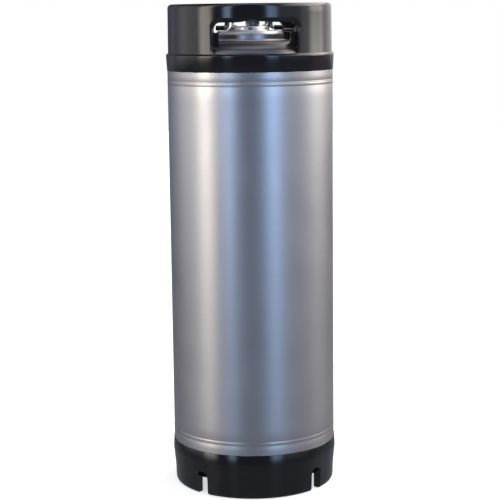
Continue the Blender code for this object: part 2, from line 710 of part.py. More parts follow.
def gas_dip_tube(x):
    """The short flanged tube, hanging straight down in its spud."""
    _, low, high, *_ = post_levels()
    end_z = CROWN_Z - GAS_TUBE_DEPTH
    inside = DIP_TUBE_RADIUS - DIP_TUBE_WALL
    turned("gas_dip_tube", [
        (inside, high), (inside, end_z), (DIP_TUBE_RADIUS, end_z), (DIP_TUBE_RADIUS, low),
        (DIP_TUBE_FLANGE, low), (DIP_TUBE_FLANGE, high)],
        "stainless_steel", MEDIUM_SIDES, (x, 0, 0))


def liquid_dip_tube(x):
    """The long tube, whose lower part bends to the middle of the tank's bottom."""
    _, low, high, *_ = post_levels()
    bend_z = DOME_Z + BEND_START
    bottom = DOME_Z - DOME_DEPTH
    bend = [(x * share, 0, bottom + rise) for share, rise in BEND_GUIDES]
    path = smooth_path([
        (x, 0, bend_z + BEND_LEAD), (x, 0, bend_z - BEND_LEAD / 2), *bend,
        (TUBE_END_X, 0, bottom + TUBE_END_RISE)], 4)
    tube = turned("liquid_dip_tube", [
        (0, low), (DIP_TUBE_FLANGE, low), (DIP_TUBE_FLANGE, high), (0, high)],
        "stainless_steel", MEDIUM_SIDES, (x, 0, 0))
    top = Vector((x, 0, (low + high) / 2))
    join(tube, swept("liquid_tube_wall", [top, *path], DIP_TUBE_RADIUS, sides=MEDIUM_SIDES))
    first = Vector((x, 0, high + CUT))
    last = path[-1] + (path[-1] - path[-2]).normalized() * CUT
    inside = DIP_TUBE_RADIUS - DIP_TUBE_WALL
    cut(tube, swept("liquid_tube_bore", [first, *path, last], inside, sides=MEDIUM_SIDES))


def post(word, x):
    _, _, tube_high, hex_low, hex_high, top, lip_low = post_levels()
    centre = (x, 0, 0)
    groove_z = top - POST_RING_DROP
    ball_z = top - BALL_GROOVE_DROP
    groove = POST_BODY - RING_GROOVE_DEPTH
    half = POST_RING_WIRE + 0.0002
    body = turned(f"{word}_post", [
        (0, hex_high - 0.002), (POST_BODY, hex_high - 0.002), (POST_BODY, ball_z - 0.0016),
        (POST_BODY - BALL_GROOVE_DEPTH, ball_z), (POST_BODY, ball_z + 0.0016),
        (POST_BODY, groove_z - half), (groove, groove_z - half), (groove, groove_z + half),
        (POST_BODY, groove_z + half), (POST_BODY, top - 0.0010), (POST_BODY - 0.0008, top),
        (0, top)], "polished_steel", MEDIUM_SIDES, centre)
    join(body, hexagon(f"{word}_post_hex", POST_HEX, hex_low, hex_high, centre))
    thread = SPUD_NECK + GAP
    shoulder = tube_high + GAP
    cut(body, turned(f"{word}_post_bore", [
        (0, hex_low - CUT), (thread, hex_low - CUT), (thread, shoulder),
        (POST_CHAMBER, shoulder), (POST_CHAMBER, lip_low), (POST_LIP_HOLE, lip_low),
        (POST_LIP_HOLE, top + CUT), (0, top + CUT)], sides=MEDIUM_SIDES, centre=centre))
    return body


def gas_post_mark(body, x):
    """The notched corners that tell the gas post's hexagon from the liquid post's."""
    *_, hex_low, hex_high, _, _ = post_levels()
    middle = (hex_low + hex_high) / 2
    inner = POST_HEX / 2 + 0.0005
    outer = POST_HEX
    cut(body, turned("gas_post_notch", [
        (inner, middle - 0.001), (outer, middle - 0.001), (outer, middle + 0.001),
        (inner, middle + 0.001)], sides=MEDIUM_SIDES, centre=(x, 0, 0)))


def post_insides(word, x):
    spud_top, _, tube_high, _, _, top, lip_low = post_levels()
    sealing_ring(f"{word}_dip_tube_oring", DIP_RING, DIP_RING_WIRE,
                 centre=(x, 0, spud_top + GAP + DIP_RING_WIRE))
    groove = POST_BODY - RING_GROOVE_DEPTH
    sealing_ring(f"{word}_post_oring", groove + POST_RING_WIRE + 0.0002, POST_RING_WIRE,
                 centre=(x, 0, top - POST_RING_DROP))
    seal_z = lip_low - GAP - POPPET_SEAL_WIRE - 0.0001
    flange_high = seal_z - POPPET_SEAL_WIRE - GAP
    flange_low = flange_high - POPPET_FLANGE_THICKNESS
    flange = POST_CHAMBER - 0.0005
    guide_low = flange_low - POPPET_GUIDE_LENGTH
    nose_top = top - POPPET_DROP
    turned(f"{word}_poppet", [
        (0, guide_low), (POPPET_GUIDE, guide_low), (POPPET_GUIDE, flange_low),
        (flange, flange_low), (flange, flange_high), (POPPET_NOSE, flange_high),
        (POPPET_NOSE, nose_top - 0.0005), (POPPET_NOSE - 0.0005, nose_top),
        (0, nose_top)], "polished_steel", SMALL_SIDES, (x, 0, 0))
    sealing_ring(f"{word}_poppet_seal", POPPET_SEAL, POPPET_SEAL_WIRE, centre=(x, 0, seal_z))
    margin = GAP + POPPET_SPRING_WIRE
    coil_spring(f"{word}_poppet_spring", (x, 0), POPPET_SPRING_COIL, POPPET_SPRING_WIRE,
                tube_high + margin, flange_low - margin, 5)


# Rubber

def seat_angles(start, steps):
    """The angle where the rubber starts, then those of the head's own corners below it."""
    corners = [90 * k / steps for k in range(steps, -1, -1)]
    return [start] + [angle for angle in corners if angle < start - 2]


def top_rubber():
    """The handle ring, bonded over the head's shoulder, with two hand holds."""
    edge = HANDLE_EDGE_Z
    ledge = TANK_RADIUS + LEDGE_OUT
    grip = TANK_RADIUS - GRIP_IN
    inner = HANDLE_INNER_RADIUS
    sill = edge + SILL_RISE
    apron = TANK_RADIUS - APRON_REACH
    apron_z = CROWN_Z + APRON_RISE
    start = math.degrees(math.acos((apron - CROWN_RADIUS) / (KNUCKLE_WIDTH + GAP)))
    seat = [knuckle(GAP, angle, angle)[0] for angle in seat_angles(start, KNUCKLE_STEPS)]
    ring = turned("top_rubber", [
        (TANK_RADIUS + GAP + LIP_THICKNESS, edge), (ledge, edge + LEDGE_RISE - 0.0016),
        (ledge - 0.0002, edge + LEDGE_RISE), (grip + 0.0004, sill - 0.0003),
        *arc((grip - 0.0050, KEG_HEIGHT - 0.0050), 0.0050, 0.0050, 0, 90, 3),
        *arc((inner + 0.0025, KEG_HEIGHT - 0.0025), 0.0025, 0.0025, 90, 180, 2),
        (inner + 0.0010, apron_z + 0.0030), (inner - 0.0020, apron_z + 0.0005),
        (apron + 0.0015, apron_z - 0.0005), (apron, apron_z - 0.0020), *seat,
        (TANK_RADIUS + GAP, edge)], "black_rubber", LARGE_SIDES)
    top = KEG_HEIGHT - GRIP_DEPTH
    half = WINDOW_HALF_WIDTH
    inset = TANK_RADIUS - RECESS_INSET
    outer = TANK_RADIUS + CUT
    window = rounded_outline([
        (-half, sill, WINDOW_BOTTOM_CORNER), (half, sill, WINDOW_BOTTOM_CORNER),
        (half, top, WINDOW_TOP_CORNER), (-half, top, WINDOW_TOP_CORNER)])
    for side, word in ((-1, "front"), (1, "back")):
        middle = side * (inset + outer - 0.0005) / 2
        cut(ring, prism(f"{word}_hand_hold", window, outer - inset + 0.0005,
                        facing_y((0, middle, 0))))
        ends = sorted((side * (inset - CUT), side * inset))
        cut(ring, block(f"{word}_recess", (-RECESS_HALF_WIDTH, ends[0], sill),
                        (RECESS_HALF_WIDTH, ends[1], CROWN_Z + POCKET_HEIGHT)))
    for side, word in ((-1, "gas"), (1, "liquid")):
        cut(ring, rod(f"{word}_pocket", (side * POST_X, 0, CROWN_Z - 0.0170),
                      (side * POST_X, 0, CROWN_Z + POCKET_HEIGHT), POCKET_RADIUS, sides=32))


def bottom_rubber():
    """The boot, bonded round the bottom head, with four drain notches."""
    ledge = TANK_RADIUS + LEDGE_OUT
    wall = TANK_RADIUS - BOOT_IN
    inner = wall - BOOT_WALL
    shelf = TANK_RADIUS - BOOT_SHELF_IN
    start = math.degrees(math.acos(shelf / (TANK_RADIUS + GAP)))
    seat = [dome(GAP, -angle, -angle)[0] for angle in seat_angles(start, DOME_STEPS)]
    boot = turned("bottom_rubber", [
        (TANK_RADIUS + GAP + LIP_THICKNESS - 0.0003, BOOT_HEIGHT),
        (ledge, BOOT_HEIGHT - BOOT_LEDGE_DROP + 0.0015), (ledge - 0.0002, BOOT_HEIGHT - BOOT_LEDGE_DROP),
        (wall + 0.0002, BOOT_HEIGHT - BOOT_CREASE_DROP), (wall, 0.0085), (wall - 0.0010, 0.0040),
        (wall - 0.0031, 0.0012), (wall - 0.0046, 0), (inner + 0.0010, 0), (inner, 0.0010),
        (inner, BOOT_SHELF_Z - 0.0050), (shelf, BOOT_SHELF_Z),
        *seat, (TANK_RADIUS + GAP, BOOT_HEIGHT)], "black_rubber", LARGE_SIDES)
    half = NOTCH_WIDTH / 2
    notch = rounded_outline([
        (-half, -CUT, 0), (half, -CUT, 0), (half, NOTCH_HEIGHT, NOTCH_CORNER),
        (-half, NOTCH_HEIGHT, NOTCH_CORNER)])
    near, far = inner - 0.0010, TANK_RADIUS + CUT
    for turn in (45, 135, 225, 315):
        around = Matrix.Rotation(math.radians(turn), 4, "Z")
        cut(boot, prism(f"notch_{turn}", notch, far - near,
                        around @ facing_y((0, -(near + far) / 2, 0))))


def settle(names):
    """Turns the modifiers into plain meshes, shaded smooth except at real edges."""
    graph = bpy.context.evaluated_depsgraph_get()
    baked = {piece: bpy.data.meshes.new_from_object(piece.evaluated_get(graph)) for piece in names}
    for piece, mesh in baked.items():
        piece.modifiers.clear()
        piece.data = mesh
        mesh.shade_smooth()
        mesh.set_sharp_from_angle(angle=math.radians(35))


def build():
    clear_scene()
    tank_shell()
    top_head()
    bottom_head()
    hatch_ring()
    lid()
    lid_oring()
    bail_lugs()
    bail()
    bail_feet()
    relief_valve_body()
    relief_valve_fixings()
    relief_valve_insides()
    relief_valve_pull_ring()
    for word, x in (("gas", -POST_X), ("liquid", POST_X)):
        spud(word, x)
        body = post(word, x)
        post_insides(word, x)
        if word == "gas":
            gas_post_mark(body, x)
            gas_dip_tube(x)
        else:
            liquid_dip_tube(x)
    top_rubber()
    bottom_rubber()
    settle(list(collection(PARTS).objects))


build()
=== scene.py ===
"""The finished surfaces, materials and studio of a soda-type beer keg.

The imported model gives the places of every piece. Lengths are metres.
"""

import json
import math

import bmesh
import bpy
from mathutils import Matrix, Vector


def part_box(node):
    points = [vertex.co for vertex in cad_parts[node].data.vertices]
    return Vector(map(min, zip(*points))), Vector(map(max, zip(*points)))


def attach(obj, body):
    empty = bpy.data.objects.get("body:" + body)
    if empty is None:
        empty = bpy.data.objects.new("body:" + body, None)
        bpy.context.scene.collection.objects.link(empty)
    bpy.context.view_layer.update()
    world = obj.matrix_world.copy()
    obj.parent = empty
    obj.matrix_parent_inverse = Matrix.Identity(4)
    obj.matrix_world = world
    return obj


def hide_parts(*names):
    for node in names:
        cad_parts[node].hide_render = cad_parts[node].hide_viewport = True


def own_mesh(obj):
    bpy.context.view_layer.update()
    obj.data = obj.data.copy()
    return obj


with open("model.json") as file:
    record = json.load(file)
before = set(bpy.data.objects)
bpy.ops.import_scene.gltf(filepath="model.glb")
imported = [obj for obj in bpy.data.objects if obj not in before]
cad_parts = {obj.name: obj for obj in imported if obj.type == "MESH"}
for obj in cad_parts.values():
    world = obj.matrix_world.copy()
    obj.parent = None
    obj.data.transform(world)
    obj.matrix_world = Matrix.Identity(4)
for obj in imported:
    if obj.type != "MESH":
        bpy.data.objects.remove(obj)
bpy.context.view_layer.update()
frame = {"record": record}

# Places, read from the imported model
SHELL_LOW, SHELL_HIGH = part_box("tank_shell")
RADIUS = SHELL_HIGH.x
LOWER_SEAM = SHELL_LOW.z
UPPER_SEAM = SHELL_HIGH.z
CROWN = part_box("top_head")[1].z
DOME_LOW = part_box("bottom_head")[0].z
RING_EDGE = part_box("top_rubber")[0].z
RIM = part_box("top_rubber")[1].z
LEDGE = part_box("top_rubber")[1].x
BOOT_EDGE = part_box("bottom_rubber")[1].z
HATCH_LOW, HATCH_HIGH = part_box("hatch_ring")
OVAL = HATCH_HIGH.y - HATCH_HIGH.x
LID_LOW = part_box("lid")[0]
POST_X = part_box("liquid_post")[1].x / 2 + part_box("liquid_post")[0].x / 2
POST_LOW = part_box("liquid_post")[0].z
POST_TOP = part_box("liquid_post")[1].z
VALVE_LOW, VALVE_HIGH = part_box("relief_valve_body")
VALVE_X = (VALVE_LOW.x + VALVE_HIGH.x) / 2
LUG_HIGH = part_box("bail_lug_right")[1]
BODY_OF = {node: body for body, nodes in frame["record"]["behaviour"]["bodies"].items()
           for node in nodes}

# Sizes of the finer shapes
HEAD_WALL = 0.0012
SHELL_WALL = 0.0010
CLEAR = 0.0003
KNUCKLE_WIDTH = 0.0300
KNUCKLE_DEPTH = 0.0310
DOME_TOP = BOOT_EDGE - 0.0030
GRIP = RADIUS - 0.00155
GRIP_INNER = RADIUS - 0.01245
SILL = RING_EDGE + 0.0228
HOLD_TOP = RIM - 0.0215
HOLD_HALF = 0.0540
HOLD_ROUND = 0.0032
PIVOT_Z = LUG_HIGH.z - 0.0065
FOOT_Z = (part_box("bail_foot_right")[0].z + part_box("bail_foot_right")[1].z) / 2
ARM_X = LUG_HIGH.x + 0.0053
LID_CROWN = 0.0240
RELIEF_TRAVEL = 0.003
POPPET_TRAVEL = 0.004
TUBE_RADIUS = 0.00395
TUBE_WALL = 0.00075
TUBE_FLANGE = 0.0072
BEND_START = 0.0740
BEND_GUIDES = ((0.91, 0.0625), (0.64, 0.0295), (0.31, 0.0155))   # share of the post's x, rise
TUBE_END = (0.0080, 0.0110)
LARGE = 192
MEDIUM = 72


# Plain shapes

def piece(name, bm, smooth_angle=32.0):
    """The finished object of a bmesh, with smooth shading except at real edges."""
    mesh = bpy.data.meshes.new(name)
    bm.to_mesh(mesh)
    bm.free()
    made = bpy.data.objects.new(name, mesh)
    bpy.context.scene.collection.objects.link(made)
    shade(made, smooth_angle)
    return made


def shade(made, smooth_angle=32.0):
    made.data.shade_smooth()
    made.data.set_sharp_from_angle(angle=math.radians(smooth_angle))


def arc(centre, semi_r, semi_z, start, end, steps):
    """Profile points on an elliptical arc, angles in degrees from outwards."""
    angles = [math.radians(start + (end - start) * i / steps) for i in range(steps + 1)]
    return [(centre[0] + semi_r * math.cos(a), centre[1] + semi_z * math.sin(a)) for a in angles]


def rounded(outline, closed=True, steps=4):
    """An outline whose corners (a, b, radius) are replaced by arcs of that radius."""
    points = []
    count = len(outline)
    for i, corner in enumerate(outline):
        radius = corner[2] if len(corner) > 2 else 0
        here = Vector(corner[:2])
        if radius == 0 or (not closed and i in (0, count - 1)):
            points.append(tuple(here))
            continue
        back = Vector(outline[i - 1][:2]) - here
        ahead = Vector(outline[(i + 1) % count][:2]) - here
        half = back.angle(ahead) / 2
        reach = min(radius / math.tan(half), 0.48 * back.length, 0.48 * ahead.length)
        radius = reach * math.tan(half)
        inward = (back.normalized() + ahead.normalized()).normalized()
        middle = here + inward * radius / math.sin(half)
        first = here + back.normalized() * reach - middle
        last = here + ahead.normalized() * reach - middle
        sweep = first.angle_signed(last)
        for k in range(steps + 1):
            turn = Matrix.Rotation(-sweep * k / steps, 2)
            points.append(tuple(middle + turn @ first))
    return points


def lathe(name, outline, sides=LARGE, centre=(0, 0), oval=0.0, closed=True):
    """A profile of (radius, height) points turned about Z, its ends on the axis when open."""
    bm = bmesh.new()
    rings = []
    for radius, height in outline:
        if radius < 1e-6:
            rings.append([bm.verts.new((centre[0], centre[1], height))])
            continue
        ring = []
        for k in range(sides):
            angle = math.tau * k / sides
            x, y = radius * math.cos(angle), (radius + oval) * math.sin(angle)
            ring.append(bm.verts.new((centre[0] + x, centre[1] + y, height)))
        rings.append(ring)
    pairs = list(zip(rings, rings[1:]))
    if closed:
        pairs.append((rings[-1], rings[0]))
    for upper, lower in pairs:
        for k in range(sides):
            n = (k + 1) % sides
            if len(upper) == 1 and len(lower) == 1:
                break
            if len(upper) == 1:
                bm.faces.new((upper[0], lower[k], lower[n]))
            elif len(lower) == 1:
                bm.faces.new((upper[k], lower[0], upper[n]))
            else:
                bm.faces.new((upper[k], lower[k], lower[n], upper[n]))
    bmesh.ops.recalc_face_normals(bm, faces=bm.faces[:])
    return piece(name, bm)


def loft(name, rings):
    """A closed solid through rings of points, with flat ends."""
    bm = bmesh.new()
    rows = [[bm.verts.new(point) for point in ring] for ring in rings]
    for lower, upper in zip(rows, rows[1:]):
        count = len(lower)
        for k in range(count):
            n = (k + 1) % count
            bm.faces.new((lower[k], lower[n], upper[n], upper[k]))
    bm.faces.new(rows[0])
    bm.faces.new(rows[-1][::-1])
    bmesh.ops.recalc_face_normals(bm, faces=bm.faces[:])
    return piece(name, bm)


def prism(name, outline, low, high, axis="Z", at=(0, 0, 0)):
    """An outline of (a, b) points between two heights along an axis."""
    places = {"X": lambda a, b, c: (c, a, b), "Y": lambda a, b, c: (a, c, b),
              "Z": lambda a, b, c: (a, b, c)}
    place = places[axis]
    shift = Vector(at)
    return loft(name, [[Vector(place(a, b, c)) + shift for a, b in outline] for c in (low, high)])


def hexagon(across, turn=0):
    corner = across / math.sqrt(3)
    return [(corner * math.cos(math.radians(60 * k + turn)),
             corner * math.sin(math.radians(60 * k + turn))) for k in range(6)]


def combine(body, tool, operation="DIFFERENCE"):
    """Cuts or joins a tool, and clears it away."""
    boolean = body.modifiers.new("combine", "BOOLEAN")
    boolean.operation = operation
    boolean.solver = "EXACT"
    boolean.object = tool
    settle(body)
    bpy.data.objects.remove(tool)


def settle(made, smooth_angle=32.0):
    """Applies a piece's modifiers to its mesh."""
    graph = bpy.context.evaluated_depsgraph_get()
    mesh = bpy.data.meshes.new_from_object(made.evaluated_get(graph))
    made.modifiers.clear()
    made.data = mesh
    shade(made, smooth_angle)


def soften(made, width, segments=2, angle=35.0):
    bevel = made.modifiers.new("soften", "BEVEL")
    bevel.width = width
    bevel.segments = segments
    bevel.limit_method = "ANGLE"
    bevel.angle_limit = math.radians(angle)
    bevel.harden_normals = False
    settle(made, 40.0)


def smooth_path(guides, steps):
    """A smooth line through guide points, heading at each along its two neighbours."""
    guides = [Vector(guide) for guide in guides]
    headings = [(after - before).normalized()
                for before, after in zip(guides[:1] + guides[:-1], guides[1:] + guides[-1:])]
    path = []
    for here, there, leaving, arriving in zip(guides, guides[1:], headings, headings[1:]):
        length = (there - here).length
        for i in range(steps):
            t = i / steps
            path.append((1 + 2 * t) * (1 - t) ** 2 * here + t * (1 - t) ** 2 * length * leaving
                        + t * t * (3 - 2 * t) * there - t * t * (1 - t) * length * arriving)
    return path + [guides[-1]]


def wire(name, path, radius, resolution=8):
    """A round wire along a path, its ends closed and slightly domed."""
    curve = bpy.data.curves.new(name, "CURVE")
    curve.dimensions = "3D"
    curve.bevel_depth = radius
    curve.bevel_resolution = resolution
    curve.use_fill_caps = True
    start = path[0] + (path[0] - path[1]).normalized() * radius * 0.35
    end = path[-1] + (path[-1] - path[-2]).normalized() * radius * 0.35
    full = [start, *path, end]
    spline = curve.splines.new("POLY")
    spline.points.add(len(full) - 1)
    for i, (point, place) in enumerate(zip(spline.points, full)):
        point.co = (*place, 1)
        point.radius = 0.72 if i in (0, len(full) - 1) else 1.0
    drawn = bpy.data.objects.new(name + "_line", curve)
    bpy.context.scene.collection.objects.link(drawn)
    graph = bpy.context.evaluated_depsgraph_get()
    mesh = bpy.data.meshes.new_from_object(drawn.evaluated_get(graph))
    bpy.data.objects.remove(drawn)
    bm = bmesh.new()
    bm.from_mesh(mesh)
    bmesh.ops.remove_doubles(bm, verts=bm.verts[:], dist=1e-6)
    bmesh.ops.recalc_face_normals(bm, faces=bm.faces[:])
    return piece(name, bm, 50.0)


# Geometry Nodes

def new_tree(name, sizes):
    """A node tree with a geometry output and named number inputs, and its input node."""
    tree = bpy.data.node_groups.new(name, "GeometryNodeTree")
    tree.interface.new_socket("Geometry", in_out="OUTPUT", socket_type="NodeSocketGeometry")
    for label, kind in sizes:
        tree.interface.new_socket(label, in_out="INPUT", socket_type=f"NodeSocket{kind}")
    return tree, tree.nodes.new("NodeGroupInput")


def node(tree, kind, values=None, **settings):
    """A node with its settings, and its inputs given as values or as linked sockets."""
    made = tree.nodes.new(kind)
    for key, value in settings.items():
        setattr(made, key, value)
    for key, value in (values or {}).items():
        if isinstance(value, bpy.types.NodeSocket):
            tree.links.new(value, made.inputs[key])
        else:
            made.inputs[key].default_value = value
    return made


def close_tree(tree, geometry, group_in):
    """Ends a tree with Realize Instances and Set Material."""
    real = node(tree, "GeometryNodeRealizeInstances", {"Geometry": geometry})
    dyed = node(tree, "GeometryNodeSetMaterial",
                {"Geometry": real.outputs[0], "Material": group_in.outputs["Material"]})
    out = tree.nodes.new("NodeGroupOutput")
    tree.links.new(dyed.outputs[0], out.inputs[0])


def grow(name, tree, values, smooth_angle=50.0):
    """The plain mesh that a tree makes with these inputs."""
    mesh = bpy.data.meshes.new(name)
    made = bpy.data.objects.new(name, mesh)
    bpy.context.scene.collection.objects.link(made)
    modifier = made.modifiers.new("grow", "NODES")
    modifier.node_group = tree
    for item in tree.interface.items_tree:
        if item.in_out == "INPUT":
            modifier[item.identifier] = values[item.name]
    settle(made, smooth_angle)
    return made


def coil_tree():
    """A wire wound round Z: the springs and the split ring."""
    tree, start = new_tree("wound_wire", (
        ("Coil Radius", "Float"), ("Wire Radius", "Float"), ("Height", "Float"),
        ("Turns", "Float"), ("Middle", "Vector"), ("Tilt", "Vector"), ("Material", "Material")))
    spiral = node(tree, "GeometryNodeCurveSpiral", {
        "Resolution": 48, "Rotations": start.outputs["Turns"],
        "Start Radius": start.outputs["Coil Radius"], "End Radius": start.outputs["Coil Radius"],
        "Height": start.outputs["Height"]})
    round_wire = node(tree, "GeometryNodeCurvePrimitiveCircle", {
        "Resolution": 12, "Radius": start.outputs["Wire Radius"]})
    swept = node(tree, "GeometryNodeCurveToMesh", {
        "Curve": spiral.outputs[0], "Profile Curve": round_wire.outputs[0], "Fill Caps": True})
    placed = node(tree, "GeometryNodeTransform", {
        "Geometry": swept.outputs[0], "Translation": start.outputs["Middle"],
        "Rotation": start.outputs["Tilt"]})
    close_tree(tree, placed.outputs[0], start)
    return tree


def weld_tree():
    """A ring of overlapping weld ripples lying on a round or oval seam."""
    tree, start = new_tree("weld_ripples", (
        ("Radius", "Float"), ("Stretch", "Float"), ("Count", "Int"), ("Ripple Width", "Float"),
        ("Ripple Height", "Float"), ("Middle", "Vector"), ("Lean", "Float"),
        ("Material", "Material")))
    ring = node(tree, "GeometryNodeCurvePrimitiveCircle", {
        "Resolution": start.outputs["Count"], "Radius": start.outputs["Radius"]})
    position = node(tree, "GeometryNodeInputPosition")
    parts = node(tree, "ShaderNodeSeparateXYZ", {0: position.outputs[0]})
    share = node(tree, "ShaderNodeMath", {
        0: parts.outputs["Y"], 1: start.outputs["Radius"]}, operation="DIVIDE")
    grown = node(tree, "ShaderNodeMath", {
        0: share.outputs[0], 1: start.outputs["Stretch"], 2: parts.outputs["Y"]},
        operation="MULTIPLY_ADD")
    moved = node(tree, "ShaderNodeCombineXYZ", {0: parts.outputs["X"], 1: grown.outputs[0]})
    oval = node(tree, "GeometryNodeSetPosition", {
        "Geometry": ring.outputs[0], "Position": moved.outputs[0]})
    tangent = node(tree, "GeometryNodeInputTangent")
    facing = node(tree, "FunctionNodeAlignRotationToVector", {"Vector": tangent.outputs[0]},
                  axis="X")
    bead = node(tree, "GeometryNodeMeshIcoSphere", {"Radius": 1.0, "Subdivisions": 2})
    size = node(tree, "ShaderNodeCombineXYZ", {
        0: start.outputs["Ripple Width"], 1: start.outputs["Ripple Height"],
        2: start.outputs["Ripple Width"]})
    leaning = node(tree, "ShaderNodeCombineXYZ", {0: start.outputs["Lean"]})
    drop = node(tree, "GeometryNodeTransform", {
        "Geometry": bead.outputs["Mesh"], "Scale": size.outputs[0]})
    turned = node(tree, "GeometryNodeTransform", {
        "Geometry": drop.outputs[0], "Rotation": leaning.outputs[0]})
    laid = node(tree, "GeometryNodeInstanceOnPoints", {
        "Points": oval.outputs[0], "Instance": turned.outputs[0], "Rotation": facing.outputs[0]})
    placed = node(tree, "GeometryNodeTransform", {
        "Geometry": laid.outputs[0], "Translation": start.outputs["Middle"]})
    close_tree(tree, placed.outputs[0], start)
    return tree


# Materials

def material(name, colour, metallic, roughness, **constants):
    """A principled material, whose constants are set on the shader's own sockets."""
    made = bpy.data.materials.new(name)
    made.use_nodes = True
    tree = made.node_tree
    shader = tree.nodes["Principled BSDF"]
    shader.inputs["Base Color"].default_value = (*colour, 1)
    shader.inputs["Metallic"].default_value = metallic
    shader.inputs["Roughness"].default_value = roughness
    for socket, value in constants.items():
        shader.inputs[socket.replace("_", " ")].default_value = value
    return made, tree, shader


def around_the_axis(tree, across, along, centre_x=0.0):
    """A pattern space that runs round the vertical axis: across it and along it in cycles."""
    place = node(tree, "ShaderNodeTexCoord")
    moved = node(tree, "ShaderNodeMapping", {
        "Vector": place.outputs["Object"], "Location": (-centre_x, 0, 0)})
    parts = node(tree, "ShaderNodeSeparateXYZ", {0: moved.outputs[0]})
    flat = node(tree, "ShaderNodeCombineXYZ", {0: parts.outputs["X"], 1: parts.outputs["Y"]})
    heading = node(tree, "ShaderNodeVectorMath", {0: flat.outputs[0]}, operation="NORMALIZE")
    length = node(tree, "ShaderNodeVectorMath", {0: flat.outputs[0]}, operation="LENGTH")
    rise = node(tree, "ShaderNodeMath", {0: parts.outputs["Z"], 1: length.outputs["Value"]},
                operation="ADD")
    turned = node(tree, "ShaderNodeVectorMath", {0: heading.outputs[0]}, operation="SCALE")
    turned.inputs["Scale"].default_value = across
    tall = node(tree, "ShaderNodeMath", {0: rise.outputs[0], 1: along}, operation="MULTIPLY")
    lift = node(tree, "ShaderNodeCombineXYZ", {2: tall.outputs[0]})
    joined = node(tree, "ShaderNodeVectorMath", {0: turned.outputs[0], 1: lift.outputs[0]})
    return joined.outputs[0]


def object_space(tree, scale):
    place = node(tree, "ShaderNodeTexCoord")
    moved = node(tree, "ShaderNodeMapping", {
        "Vector": place.outputs["Object"], "Scale": (scale, scale, scale)})
    return moved.outputs[0]


def noise(tree, space, scale=1.0, detail=3.0, roughness=0.55):
    made = node(tree, "ShaderNodeTexNoise", {
        "Vector": space, "Scale": scale, "Detail": detail, "Roughness": roughness})
    return made.outputs["Fac"]


def spread(tree, value, low, high, start=0.3, end=0.7):
    """A pattern value mapped to a range."""
    made = node(tree, "ShaderNodeMapRange", {
        "Value": value, "From Min": start, "From Max": end, "To Min": low, "To Max": high})
    return made.outputs[0]


def blend_colour(tree, share, first, second):
    made = node(tree, "ShaderNodeMix", data_type="RGBA")
    tree.links.new(share, made.inputs[0])
    made.inputs[6].default_value = (*first, 1)
    made.inputs[7].default_value = (*second, 1)
    return made.outputs[2]


def bump(tree, shader, height, strength, distance, below=None):
    made = node(tree, "ShaderNodeBump", {
        "Height": height, "Strength": strength, "Distance": distance})
    if below is not None:
        tree.links.new(below, made.inputs["Normal"])
    tree.links.new(made.outputs[0], shader.inputs["Normal"])
    return made.outputs[0]


def brushed_steel(name, colour, roughness, grain, tint=(), centre_x=0.0):
    """Satin steel with a fine grain round its axis, soft handling marks and weld tints."""
    made, tree, shader = material(name, colour, 1.0, roughness)
    lines = noise(tree, around_the_axis(tree, 5.0, 2600.0, centre_x), detail=2.0)
    wide = noise(tree, around_the_axis(tree, 2.2, 260.0, centre_x), detail=4.0)
    marks = noise(tree, object_space(tree, 26.0), detail=4.0)
    dull = node(tree, "ShaderNodeMath", {
        0: spread(tree, lines, -grain, grain), 1: spread(tree, marks, -0.02, 0.025)},
        operation="ADD")
    rough = node(tree, "ShaderNodeMath", {0: dull.outputs[0], 1: roughness}, operation="ADD")
    tree.links.new(rough.outputs[0], shader.inputs["Roughness"])
    dim = tuple(c * 0.97 for c in colour)
    shown = blend_colour(tree, spread(tree, wide, 0, 1), dim, colour)
    place = node(tree, "ShaderNodeTexCoord")
    height = node(tree, "ShaderNodeSeparateXYZ", {0: place.outputs["Object"]}).outputs["Z"]
    for seam, reach, heat in tint:
        gap = node(tree, "ShaderNodeMath", {0: height, 1: seam}, operation="SUBTRACT")
        away = node(tree, "ShaderNodeMath", {0: gap.outputs[0]}, operation="ABSOLUTE")
        share = node(tree, "ShaderNodeMapRange", {
            "Value": away.outputs[0], "From Min": 0.001, "From Max": reach,
            "To Min": 0.75, "To Max": 0.0}, interpolation_type="SMOOTHSTEP")
        mixed = node(tree, "ShaderNodeMix", data_type="RGBA")
        tree.links.new(share.outputs[0], mixed.inputs[0])
        tree.links.new(shown, mixed.inputs[6])
        mixed.inputs[7].default_value = (*heat, 1)
        shown = mixed.outputs[2]
    tree.links.new(shown, shader.inputs["Base Color"])
    fine = bump(tree, shader, lines, 0.06, 0.00003)
    bump(tree, shader, wide, 0.025, 0.0002, fine)
    return made


def bright_steel(name, colour, roughness):
    """Turned and polished steel with faint tool lines and small dulled patches."""
    made, tree, shader = material(name, colour, 1.0, roughness)
    patches = noise(tree, object_space(tree, 420.0), detail=4.0)
    lines = noise(tree, object_space(tree, 60.0), scale=1.0, detail=6.0)
    tree.links.new(spread(tree, patches, roughness * 0.7, roughness * 1.5),
                   shader.inputs["Roughness"])
    tree.links.new(blend_colour(tree, spread(tree, lines, 0, 1),
                                tuple(c * 0.9 for c in colour), colour),
                   shader.inputs["Base Color"])
    bump(tree, shader, patches, 0.05, 0.0001)
    return made


def weld_steel():
    """The ripples of a weld: straw to blue heat colours in patches."""
    made, tree, shader = material("weld_bead_steel", (0.56, 0.55, 0.55), 1.0, 0.36)
    patches = noise(tree, object_space(tree, 90.0), detail=3.0)
    tree.links.new(blend_colour(tree, spread(tree, patches, 0, 1, 0.4, 0.6),
                                (0.58, 0.56, 0.53), (0.53, 0.54, 0.57)),
                   shader.inputs["Base Color"])
    tree.links.new(spread(tree, noise(tree, object_space(tree, 900.0)), 0.32, 0.44),
                   shader.inputs["Roughness"])
    bump(tree, shader, noise(tree, object_space(tree, 700.0)), 0.12, 0.0002)
    return made


